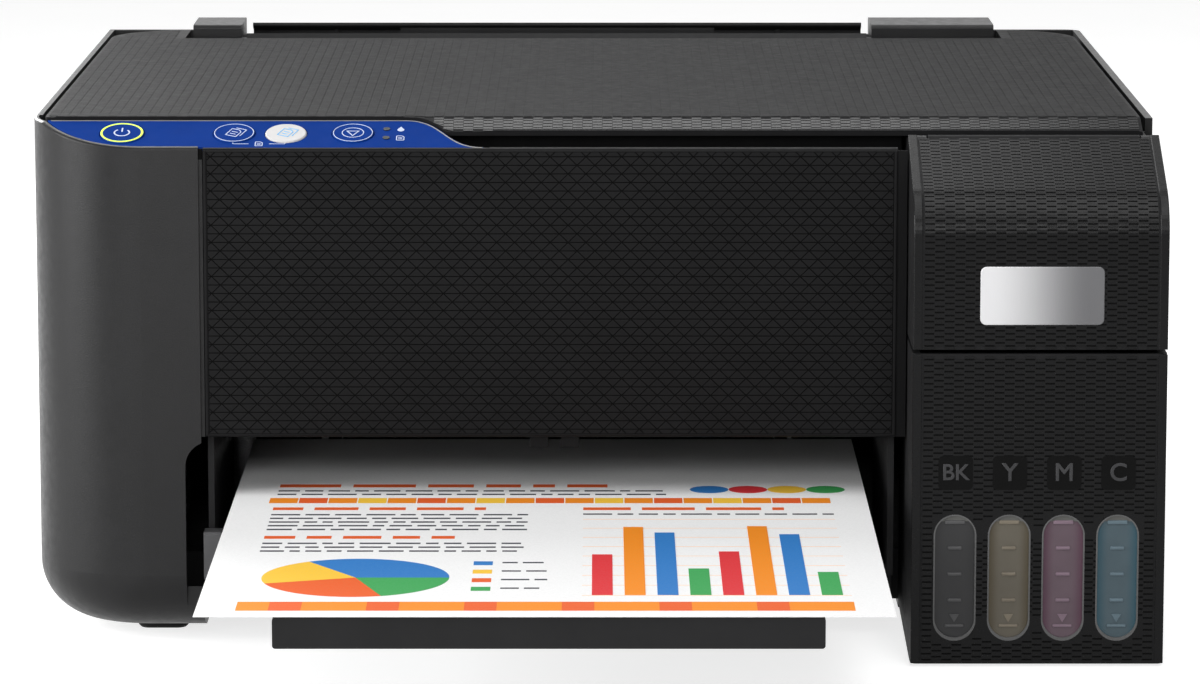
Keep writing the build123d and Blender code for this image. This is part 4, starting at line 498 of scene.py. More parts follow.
class Blank:
    """One piece in the making: a bmesh in millimetres and the operators that shape it."""

    LETTER_ROUND = 0.018

    def __init__(self) -> None:
        """Starts with an empty mesh."""
        self.bm = bmesh.new()

    def tag(self, verts: Verts, slot: int) -> None:
        """Gives the faces of some vertices a material slot."""
        for vert in verts:
            for face in vert.link_faces:
                face.material_index = slot

    def bevel(self, edges: Sequence[bmesh.types.BMEdge], width: float, runs: int = 2) -> None:
        """Rounds some edges.

        Args:
            edges: the edges.
            width: width of the rounding.
            runs: flat runs across it.
        """
        bmesh.ops.bevel(self.bm, geom=edges, offset=width, offset_type="OFFSET", segments=runs, profile=0.5,
                        affect="EDGES", material=-1, clamp_overlap=True)

    def ring(self, outline: Sequence[Point], place: Matrix) -> Verts:
        """Adds loose corners in a place's X and Y."""
        return [self.bm.verts.new(place @ Vector((x, y, 0.0))) for x, y in outline]

    def loop(self, ring: Verts) -> list[bmesh.types.BMEdge]:
        """Joins corners into a closed line."""
        return [self.bm.edges.new((ring[i - 1], ring[i])) for i in range(len(ring))]

    def lift(self, faces: Sequence[bmesh.types.BMFace], depth: float, place: Matrix) -> Verts:
        """Thickens flat faces.

        Args:
            faces: the faces, which stay as the lower side.
            depth: thickness along the place's Z.
            place: where they lie.

        Returns:
            The vertices of the upper side.
        """
        raised = verts_among(bmesh.ops.extrude_face_region(self.bm, geom=faces, use_keep_orig=True)["geom"])
        bmesh.ops.translate(self.bm, vec=place.to_3x3() @ Vector((0.0, 0.0, depth)), verts=raised)
        return raised

    def plate(self, size: Sequence[float], place: Matrix, soften: float, runs: int = 2) -> None:
        """Adds a box.

        Args:
            size: lengths along the place's own axes.
            place: where its middle lies.
            soften: width of the rounding of its edges.
            runs: flat runs across the rounding.
        """
        matrix = place @ Matrix.Diagonal((*size, 1.0))
        verts = bmesh.ops.create_cube(self.bm, size=1.0, matrix=matrix)["verts"]
        edges = dict.fromkeys(edge for vert in verts for edge in vert.link_edges)
        self.bevel(list(edges), soften, runs)

    def slab(self, outline: Sequence[Point], depth: float, place: Matrix, slot: int = 0) -> None:
        """Adds a flat piece of any outline.

        Args:
            outline: corners in the place's X and Y, anticlockwise.
            depth: thickness along its Z.
            place: where its lower face lies.
            slot: material slot.
        """
        base = self.ring(outline, place)
        face = self.bm.faces.new(base)
        raised = self.lift([face], depth, place)
        bmesh.ops.reverse_faces(self.bm, faces=[face])
        self.tag(base + raised, slot)

    def band(self, outer: Sequence[Point], inner: Sequence[Point], depth: float, place: Matrix,
             slot: int = 0) -> None:
        """Adds a flat closed band between two outlines of as many corners.

        Args:
            outer: outer outline, anticlockwise.
            inner: inner outline.
            depth: thickness along the place's Z.
            place: where its lower face lies.
            slot: material slot.
        """
        rings = [self.ring(outline, place) for outline in (outer, inner)]
        edges = [edge for ring in rings for edge in self.loop(ring)]
        faces = bmesh.ops.bridge_loops(self.bm, edges=edges)["faces"]
        verts = rings[0] + rings[1] + self.lift(faces, depth, place)
        self.turn_out(verts)
        self.tag(verts, slot)

    def turn_out(self, verts: Verts) -> None:
        """Turns the faces round some vertices outwards."""
        faces = dict.fromkeys(face for vert in verts for face in vert.link_faces)
        bmesh.ops.recalc_face_normals(self.bm, faces=list(faces))

    def lettering(self, text: str, height: float, depth: float, place: Matrix, slot: int = 0) -> None:
        """Adds raised lettering, centred on the place.

        Args:
            text: the letters.
            height: size of the type.
            depth: how far it stands out.
            place: middle of the lettering.
            slot: material slot.
        """
        curve = bpy.data.curves.new("lettering", "FONT")
        curve.body = text
        curve.size = height
        curve.bevel_depth = self.LETTER_ROUND * height
        curve.bevel_resolution = 1
        curve.align_x = "CENTER"
        curve.align_y = "CENTER"
        curve.extrude = depth / 2
        holder = bpy.data.objects.new("lettering", curve)
        bpy.context.scene.collection.objects.link(holder)
        mesh = bpy.data.meshes.new_from_object(holder.evaluated_get(bpy.context.evaluated_depsgraph_get()))
        mesh.transform(place)
        before = len(self.bm.faces)
        self.bm.from_mesh(mesh)
        self.bm.faces.ensure_lookup_table()
        for face in self.bm.faces[before:]:
            face.material_index = slot
        bpy.data.objects.remove(holder)
        bpy.data.curves.remove(curve)
        bpy.data.meshes.remove(mesh)

    def repeat(self, count: int, step: Vector) -> None:
        """Copies all that is there along a step.

        Args:
            count: how many there are in the end.
            step: from one copy to the next.
        """
        source = self.bm.verts[:] + self.bm.edges[:] + self.bm.faces[:]
        for number in range(1, count):
            copy = bmesh.ops.duplicate(self.bm, geom=source)["geom"]
            bmesh.ops.translate(self.bm, vec=step * number, verts=verts_among(copy))

    def keep(self, wanted: Callable[[Verts], bool]) -> None:
        """Drops each loose block of vertices that fails a test.

        Args:
            wanted: test of a block, which may also move its vertices.
        """
        seen: set[bmesh.types.BMVert] = set()
        doomed: Verts = []
        for start in self.bm.verts:
            if start in seen:
                continue
            block = [start]
            seen.add(start)
            for vert in block:
                for edge in vert.link_edges:
                    other = edge.other_vert(vert)
                    if other not in seen:
                        seen.add(other)
                        block.append(other)
            if not wanted(block):
                doomed.extend(block)
        bmesh.ops.delete(self.bm, geom=doomed, context="VERTS")

    def finish(self, name: str, finishes: Sequence[Material], body: str, slot: str,
               smooth: bool = False) -> bpy.types.Object:
        """Turns the mesh into a piece that rides on a body.

        Args:
            name: the piece's name.
            finishes: materials by slot number.
            body: CAD body that it moves with.
            slot: name of a material slot; not used.
            smooth: whether its faces are shaded smooth.

        Returns:
            The piece.
        """
        bmesh.ops.scale(self.bm, vec=(MM, MM, MM), verts=self.bm.verts)
        mesh = bpy.data.meshes.new(name)
        self.bm.to_mesh(mesh)
        self.bm.free()
        for finish in finishes:
            mesh.materials.append(finish)
        if smooth:
            mesh.shade_smooth()
        piece = bpy.data.objects.new(name, mesh)
        bpy.context.scene.collection.objects.link(piece)
        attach(piece, body)
        LOG.info("piece %s: %d faces on %s", name, len(mesh.polygons), body)
        return piece


class Tone(Enum):
    """Finishes of the printer, by the stuff that a piece is made of."""

    CASING = "casing"
    SKIN = "skin"
    LID = "lid"
    SHELL = "shell"
    GROOVE = "groove"
    PANEL = "panel"
    INNER = "inner"
    FRAME = "frame"
    GREY = "grey"
    GUIDE = "guide"
    DARK_STEEL = "dark_steel"
    CONTROL = "control"
    LIGHT_BUTTON = "light_button"
    CAP = "cap"
    GLASS = "glass"
    FOAM = "foam"
    RUBBER = "rubber"
    STEEL = "steel"
    PAPER = "paper"
    CODE_SQUARE = "code_square"
    CODE_LETTER = "code_letter"
    PLATE = "plate"
    RING = "ring"
    SYMBOL = "symbol"
    SYMBOL_BLUE = "symbol_blue"
    LAMP_OFF = "lamp_off"
    TRIM = "trim"
    WINDOW_RIM = "window_rim"
    FEED_ROLLER = "feed_roller"
    PICKUP_ROLLER = "pickup_roller"
    BOARD = "board"
    INK_BLACK = "ink_black"
    INK_YELLOW = "ink_yellow"
    INK_MAGENTA = "ink_magenta"
    INK_CYAN = "ink_cyan"
    MARK_BLACK = "mark_black"
    MARK_YELLOW = "mark_yellow"
    MARK_MAGENTA = "mark_magenta"
    MARK_CYAN = "mark_cyan"


INK_XS = {"black": 118.775, "yellow": 136.525, "magenta": 154.275, "cyan": 172.025}


@dataclass
class FinishBook:
    """All the finishes, each made once, when it is first asked for."""

    made: dict[Tone, Material] = field(default_factory=dict)

    RECIPES = {
        Tone.CASING: MouldedPlastic("casing_satin", (0.008, 0.008, 0.0084), 0.4, 0.22, 0.45, 0.8),
        Tone.SKIN: MouldedPlastic("skin_satin", (0.003, 0.003, 0.0033), 0.28, 0.14, 0.3, 0.1),
        Tone.LID: MouldedPlastic("lid_satin", (0.008, 0.008, 0.0085), 0.56, 0.05, 0.3, 0.12),
        Tone.SHELL: MouldedPlastic("shell_satin", (0.011, 0.011, 0.0115), 0.62, 0.1, 0.3, 0.3),
        # Painted shade: slit floors and groove walls get a darker, duller black than the skin, standing for the
        # shade down in them.
        Tone.GROOVE: MouldedPlastic("painted_slit_shade", (0.002, 0.002, 0.002), 0.7, 0.06, 0.4, 0.2),
        Tone.PANEL: MouldedPlastic("panel_facets", (0.006, 0.006, 0.0064), 0.36, 0.08, 0.3, 0.1),
        Tone.INNER: MouldedPlastic("inner_satin", (0.01, 0.01, 0.0105), 0.55, 0.15, 0.5, 0.3),
        Tone.FRAME: MouldedPlastic("frame_matt", (0.0035, 0.0035, 0.0037), 0.6, 0.05, 0.5, 0.3),
        Tone.GREY: MouldedPlastic("grey_moulding", (0.3, 0.3, 0.31), 0.5, 0.4, 0.5, 0.2),
        Tone.GUIDE: MouldedPlastic("guide_grey", (0.075, 0.075, 0.078), 0.5, 0.25, 0.5, 0.2),
        Tone.DARK_STEEL: BrushedMetal("blackened_steel", (0.06, 0.06, 0.062), 0.45),
        Tone.CONTROL: MouldedPlastic("control_blue", linear(16, 54, 132), 0.6, 0.008, 0.35, 0.1, 0.05),
        Tone.LIGHT_BUTTON: MouldedPlastic("light_button", linear(196, 195, 195), 0.45, 0.2, 0.35, 0.08, 0.03),
        Tone.CAP: MouldedPlastic("cap_satin", (0.035, 0.035, 0.037), 0.45, 0.35, 0.4, 0.2),
        Tone.GLASS: ClearGlass("scanner_glass"),
        Tone.FOAM: PrintedInk("white_pad", (0.78, 0.78, 0.77), 0.8),
        Tone.RUBBER: MouldedPlastic("black_rubber", (0.018, 0.018, 0.018), 0.75, 0.2, 0.6, 0.5),
        Tone.STEEL: BrushedMetal("zinc_sheet", (0.55, 0.55, 0.56)),
        Tone.PAPER: PrintedInk("plain_paper", (0.88, 0.88, 0.88), 0.75),
        Tone.CODE_SQUARE: MouldedPlastic("code_square", (0.003, 0.003, 0.003), 0.5, 0.06, 0.3, 0.05),
        Tone.CODE_LETTER: MouldedPlastic("code_letter", (0.038, 0.038, 0.04), 0.5, 0.2, 0.3, 0.1),
        # Painted reflection on the plate: bright at the left, dark at the right.
        Tone.PLATE: GradedPlate("bare_plate", (0.6, 0.6, 0.61), (0.12, 0.12, 0.125), 127.0, 162.0),
        Tone.RING: PrintedInk("power_ring", linear(196, 226, 48), 0.4, 0.5),
        Tone.SYMBOL: PrintedInk("light_symbol", linear(196, 206, 230), 0.5, 0.0, 0.1),
        Tone.SYMBOL_BLUE: PrintedInk("blue_symbol", linear(80, 170, 225), 0.5),
        Tone.LAMP_OFF: PrintedInk("lamp_off", linear(30, 34, 40), 0.4, 0.0, 0.1),
        Tone.TRIM: MouldedPlastic("trim_line", linear(120, 118, 112), 0.4, 0.4, 0.3, 0.05),
        Tone.WINDOW_RIM: MouldedPlastic("window_rim", (0.1, 0.1, 0.1), 0.4, 0.3, 0.3, 0.1),
        Tone.FEED_ROLLER: RollerRubber("feed_roller", -129.4, -120.6, 94.6),
        Tone.PICKUP_ROLLER: RollerRubber("pickup_roller", -200.0, -36.1, 8.1),
        Tone.BOARD: CircuitBoard("circuit_board", -181.3),
        # Each ink's second colour is the painted shade at the sides of its window.
        Tone.INK_BLACK: SmokedWindow("ink_black", linear(47, 47, 48), linear(40, 40, 41), INK_XS["black"]),
        Tone.INK_YELLOW: SmokedWindow("ink_yellow", linear(95, 90, 80), linear(74, 66, 50), INK_XS["yellow"]),
        Tone.INK_MAGENTA: SmokedWindow("ink_magenta", linear(95, 80, 88), linear(80, 52, 67),
                                       INK_XS["magenta"]),
        Tone.INK_CYAN: SmokedWindow("ink_cyan", linear(71, 86, 93), linear(44, 76, 88), INK_XS["cyan"]),
        # Painted highlight: each mark is a lighter copy of its ink's colour, for the light that the raised
        # marks catch.
        Tone.MARK_BLACK: MouldedPlastic("mark_black", linear(74, 74, 75), 0.4, 0.3, 0.3, 0.05),
        Tone.MARK_YELLOW: MouldedPlastic("mark_yellow", linear(118, 110, 96), 0.4, 0.3, 0.3, 0.05),
        Tone.MARK_MAGENTA: MouldedPlastic("mark_magenta", linear(122, 103, 115), 0.4, 0.3, 0.3, 0.05),
        Tone.MARK_CYAN: MouldedPlastic("mark_cyan", linear(92, 110, 119), 0.4, 0.3, 0.3, 0.05),
    }

    def __getitem__(self, tone: Tone) -> Material:
        """Gives the material of one finish."""
        if tone not in self.made:
            self.made[tone] = self.RECIPES[tone].material()
        return self.made[tone]


NODE_TONES: dict[Tone, tuple[str, ...]] = {
    Tone.CASING: ("left_casing", "right_casing", "rear_cover", "rear_feeder"),
    Tone.SHELL: ("tank_cover", "tank_housing"),
    Tone.LID: ("document_lid",),
    Tone.PANEL: ("front_panel",),
    Tone.INNER: ("base_frame", "platen", "print_carriage", "capping_station", "output_tray", "tray_extension",
                 "paper_support", "support_extension", "edge_guide_left", "edge_guide_right", "power_supply",
                 "usb_port", "power_inlet", "scan_bar"),
    Tone.FRAME: ("scanner_frame",),
    Tone.GUIDE: ("bay_corner_guide",),
    Tone.DARK_STEEL: ("cover_hinge_pin",),
    Tone.GREY: ("idler_gear", "motor_pinion", "motor_pulley", "idler_pulley"),
    Tone.CONTROL: ("control_panel", "power_button", "black_copy_button", "stop_button"),
    Tone.LIGHT_BUTTON: ("colour_copy_button",),
    Tone.CAP: ("tank_cap_black", "tank_cap_yellow", "tank_cap_magenta", "tank_cap_cyan"),
    Tone.GLASS: ("scanner_glass",),
    Tone.FOAM: ("lid_pad",),
    Tone.RUBBER: ("rubber_feet", "timing_belt"),
    Tone.STEEL: ("lid_hinge_pins", "scanner_hinge_pins", "scan_rod", "carriage_rail",
                 "frame_plates", "carriage_motor", "feed_motor", "print_head"),
    Tone.PAPER: ("printed_sheet",),
    Tone.FEED_ROLLER: ("feed_roller", "eject_roller"),
    Tone.PICKUP_ROLLER: ("pickup_roller",),
    Tone.BOARD: ("main_board",),
    Tone.INK_BLACK: ("ink_tank_black",),
    Tone.INK_YELLOW: ("ink_tank_yellow",),
    Tone.INK_MAGENTA: ("ink_tank_magenta",),
    Tone.INK_CYAN: ("ink_tank_cyan",),
}


def dress_nodes(nodes: dict[str, bpy.types.Object], book: FinishBook) -> None:
    """Gives every CAD node its finish.

    Args:
        nodes: CAD objects by name.
        book: the finishes.
    """
    for tone, names in NODE_TONES.items():
        for name in names:
            materials = nodes[name].data.materials
            materials.clear()
            materials.append(book[tone])
            LOG.info("node %s: %s", name, tone.value)


def facing(x: float, y: float, z: float, lean: float = 0.0) -> Matrix:
    """Place on a surface that faces the front, its X to the right, its Y up the surface and its Z outwards.

    Args:
        x: place to the right.
        y: place to the back.
        z: height.
        lean: angle by which the surface leans back from upright, in radians.

    Returns:
        The place's matrix.
    """
    up = Vector((0.0, math.sin(lean), math.cos(lean)))
    out = Vector((0.0, -math.cos(lean), math.sin(lean)))
    turn = Matrix((Vector((1.0, 0.0, 0.0)), up, out)).transposed().to_4x4()
    return Matrix.Translation((x, y, z)) @ turn


def rounded(width: float, height: float, radius: float, steps: int = 6) -> list[Point]:
    """Outline of a rounded rectangle round the origin, anticlockwise.

    Args:
        width: length along X.
        height: length along Y.
        radius: radius of the corners.
        steps: straight runs in each corner.

    Returns:
        The corners of the outline.
    """
    points = []
    for across, along, start in ((1, 1, 0.0), (-1, 1, 0.5), (-1, -1, 1.0), (1, -1, 1.5)):
        for step in range(steps + 1):
            angle = math.pi * (start + 0.5 * step / steps)
            points.append((across * (width / 2 - radius) + radius * math.cos(angle),
                           along * (height / 2 - radius) + radius * math.sin(angle)))
    return points


def circle(radius: float, sides: int, start: float = 0.0, sweep: float = 2 * math.pi) -> list[Point]:
    """Corners along a circle round the origin, anticlockwise.

    Args:
        radius: its radius.
        sides: number of corners.
        start: first angle.
        sweep: angle that they span.

    Returns:
        The corners.
    """
    angles = [start + sweep * i / sides for i in range(sides)]
    return [(radius * math.cos(angle), radius * math.sin(angle)) for angle in angles]


def ribbon(path: Sequence[Point], width: float) -> list[Point]:
    """Outline of a strip of one width along a path.

    Args:
        path: points along the strip's middle.
        width: its width.

    Returns:
        The strip's corners, anticlockwise.
    """
    left, right = [], []
    for i, (x, y) in enumerate(path):
        before, after = path[max(i - 1, 0)], path[min(i + 1, len(path) - 1)]
        along = Vector((after[0] - before[0], after[1] - before[1])).normalized()
        left.append((x - along.y * width / 2, y + along.x * width / 2))
        right.append((x + along.y * width / 2, y - along.x * width / 2))
    return right + left[::-1]


def bezier(points: Sequence[Point], steps: int = 16) -> list[Point]:
    """Points along a cubic curve.

    Args:
        points: its four control points.
        steps: number of runs.

    Returns:
        The points, ends included.
    """
    result = []
    for step in range(steps + 1):
        t = step / steps
        weights = ((1 - t) ** 3, 3 * t * (1 - t) ** 2, 3 * t * t * (1 - t), t ** 3)
        result.append(tuple(sum(w * p[axis] for w, p in zip(weights, points)) for axis in range(2)))
    return result


@dataclass
class Assembly:
    """Sub-assembly of the printer, dressed from one book of finishes."""

    book: FinishBook

    def dressed(self, *tones: Tone) -> list[Material]:
        """Materials of some finishes, by slot number."""
        return [self.book[tone] for tone in tones]

    def build(self) -> None:
        """Makes the pieces."""
        raise NotImplementedError


@dataclass
class FrontPanel(Assembly):
    """Front panel: a skin cut into fine raised triangles by level and slanting grooves."""

    left_x: float = -128.5
    right_x: float = 100.7
    low_z: float = 71.0
    high_z: float = 167.8
    front_y: float = -62.5
    row_height: float = 2.85
    triangle_width: float = 5.9
    groove: float = 0.17
    rise: float = 0.16
    margin: float = 1.2
    cut_reach: float = 0.01
    crumb_area: float = 0.6
    skin_depth: float = 0.1
    rim_inset: float = 0.55
    rim_size: Triple = (1.0, 95.2, 0.6)
    rim_round: float = 0.25
    shade_strip_size: Triple = (2.4, 91.2, 0.4)
    shade_strip_place: Triple = (-1.3, 2.85, 117.0)
    cap_size: Triple = (1.4, 3.6, 0.5)
    cap_place: Triple = (-0.85, 1.15, 165.7)
    shade_strip_round: float = 0.1

    def build(self) -> None:
        """Makes the relief, the rims and the dark strip behind the left seam, which is painted shade."""
        self.build_relief()
        self.build_rims()
        self.build_seam_shade()

    def middle(self, x: float) -> Matrix:
        """Place at half the panel's height."""
        return facing(x, self.front_y, (self.low_z + self.high_z) / 2)

    def cuts(self, width: float, height: float) -> list[tuple[Triple, Triple]]:
        """Point and normal of each groove.

        Args:
            width: width of the relief.
            height: its height.

        Returns:
            The level grooves, then the slanting ones.
        """
        slope = math.atan2(self.row_height, self.triangle_width / 2)
        rows = int(height / self.row_height / 2) + 1
        columns = int((width + height) / self.triangle_width / 2) + 2
        level = [((0.0, row * self.row_height, 0.0), (0.0, 1.0, 0.0)) for row in range(-rows, rows + 1)]
        slanting = [((column * self.triangle_width, 0.0, 0.0), (math.sin(slope), side * math.cos(slope), 0.0))
                    for column in range(-columns, columns + 1) for side in (-1, 1)]
        return level + slanting

    def build_relief(self) -> None:
        """Makes the relief on the panel's front."""
        width = self.right_x - self.left_x - 2 * self.margin
        height = self.high_z - self.low_z - 2 * self.margin
        blank = Blank()
        bm = blank.bm
        bmesh.ops.create_grid(bm, x_segments=1, y_segments=1, size=0.5,
                              matrix=Matrix.Diagonal((width, height, 1.0, 1.0)))
        for point, normal in self.cuts(width, height):
            everything = bm.verts[:] + bm.edges[:] + bm.faces[:]
            bmesh.ops.bisect_plane(bm, geom=everything, plane_co=point, plane_no=normal, dist=self.cut_reach)
        crumbs = [face for face in bm.faces if face.calc_area() < self.crumb_area]
        bmesh.ops.delete(bm, geom=crumbs, context="FACES")
        slopes = bmesh.ops.inset_individual(bm, faces=bm.faces[:], thickness=self.groove, depth=self.rise,
                                            use_even_offset=True)["faces"]
        # Slot 1 on the groove walls is the painted shade of the grooves.
        for face in slopes:
            face.material_index = 1
        bmesh.ops.solidify(bm, geom=bm.faces[:], thickness=self.skin_depth)
        bmesh.ops.transform(bm, matrix=self.middle((self.left_x + self.right_x) / 2), verts=bm.verts)
        blank.finish("panel_relief", self.dressed(Tone.PANEL, Tone.GROOVE), "chassis", "panel_plastic")

    def build_rims(self) -> None:
        """Makes the plain rims at the relief's two ends."""
        blank = Blank()
        for x in (self.left_x + self.rim_inset, self.right_x - self.rim_inset):
            blank.plate(self.rim_size, self.middle(x), self.rim_round)
        blank.finish("panel_rim", self.dressed(Tone.PANEL), "chassis", "panel_plastic")

    def build_seam_shade(self) -> None:
        """Makes the dark strip behind the left seam and the cap at its top, painted shade standing for the
        seam's shaded inside.
        """
        blank = Blank()
        for size, (x, y, z) in ((self.shade_strip_size, self.shade_strip_place), (self.cap_size, self.cap_place)):
            blank.plate(size, facing(self.left_x + x, self.front_y + y, z), self.shade_strip_round)
        # Painted shade: the strip and its cap take the groove shade tone, dark as the inside of the seam.
        blank.finish("seam_shade_strip", self.dressed(Tone.GROOVE), "chassis", "inner_plastic")


@dataclass
class SlitSkin:
    """Skin with short level slits in columns, neighbouring columns set off by half a row."""

    column_pitch: float = 3.3
    row_pitch: float = 2.0
    slit_width: float = 3.0
    slit_height: float = 0.5
    rise: float = 0.2
    seam: float = 0.0
    inset: float = 0.2
    floor_gap: float = 0.02

    def cell(self, blank: Blank, place: Matrix) -> None:
        """Adds one cell: a flat patch with a slit sunk in its middle.

        Args:
            blank: mesh to add to.
            place: where the patch lies on the surface below the skin.
        """
        width, height = self.column_pitch - self.seam, self.row_pitch
        top = place @ Matrix.Translation((0.0, 0.0, self.rise))
        patch = top @ Matrix.Diagonal((width, height, 1.0, 1.0))
        verts = bmesh.ops.create_grid(blank.bm, x_segments=1, y_segments=1, size=0.5, matrix=patch)["verts"]
        face = verts[0].link_faces[0]
        bmesh.ops.inset_individual(blank.bm, faces=[face], thickness=self.inset)
        shrink = (self.slit_width / (width - 2 * self.inset), self.slit_height / (height - 2 * self.inset), 1.0)
        bmesh.ops.scale(blank.bm, vec=shrink, space=top.inverted(), verts=face.verts)
        floor = bmesh.ops.extrude_discrete_faces(blank.bm, faces=[face])["faces"][0]
        down = top.to_3x3() @ Vector((0.0, 0.0, self.floor_gap - self.rise))
        bmesh.ops.translate(blank.bm, vec=down, verts=floor.verts)
        # Slot 1 on the slit's floor is its painted shade.
        floor.material_index = 1

    def lay(self, blank: Blank, at: Callable[[float], Matrix], length: float, columns: int,
            first_x: float) -> None:
        """Lays a pair of columns along a path and repeats it across.

        Args:
            blank: mesh to add to.
            at: gives the place on the surface at a length along the path, at X zero.
            length: length of the path.
            columns: number of columns.
            first_x: middle of the first column.
        """
        for column in range(2):
            shift = Matrix.Translation((first_x + column * self.column_pitch, 0.0, 0.0))
            reach = self.row_pitch / 2 * (1 + column)
            while reach + self.row_pitch / 2 <= length:
                self.cell(blank, shift @ at(reach))
                reach += self.row_pitch
        blank.repeat((columns + 1) // 2, Vector((2 * self.column_pitch, 0.0, 0.0)))


@dataclass(frozen=True)
class CoverProfile:
    """Outside of the tank cover in side view: an upright front, a round bend and a slope to its crest."""

    front_y: float = -93.5
    low_z: float = 105.6
    radius: float = 16.0
    slope: float = math.radians(25.0)
    crest_y: float = -53.5
    crest_z: float = 171.1

    @property
    def turn(self) -> float:
        """Angle of the bend."""
        return math.pi / 2 - self.slope

    @property
    def tangent(self) -> float:
        """Length from the bend's ends to the sharp corner that it rounds."""
        return self.radius * math.tan(self.turn / 2)

    @property
    def corner_z(self) -> float:
        """Height of that corner."""
        return self.crest_z - (self.crest_y - self.front_y) * math.tan(self.slope)

    @property
    def upright(self) -> float:
        """Length of the upright front."""
        return self.corner_z - self.tangent - self.low_z

    @property
    def length(self) -> float:
        """Length of the whole profile."""
        sloping = (self.crest_y - self.front_y) / math.cos(self.slope) - self.tangent
        return self.upright + self.radius * self.turn + sloping

    def place(self, length: float) -> Matrix:
        """Place at a length along the profile, from its lower edge.

        Args:
            length: length along the profile.

        Returns:
            The place's matrix, at X zero.
        """
        past = length - self.upright
        if past <= 0:
            return facing(0.0, self.front_y, self.low_z + length)
        arc = self.radius * self.turn
        if past <= arc:
            angle = past / self.radius
            y = self.front_y + self.radius * (1 - math.cos(angle))
            z = self.corner_z - self.tangent + self.radius * math.sin(angle)
            return facing(0.0, y, z, angle)
        rest = past - arc + self.tangent
        y = self.front_y + rest * math.cos(self.slope)
        return facing(0.0, y, self.corner_z + rest * math.sin(self.slope), self.turn)


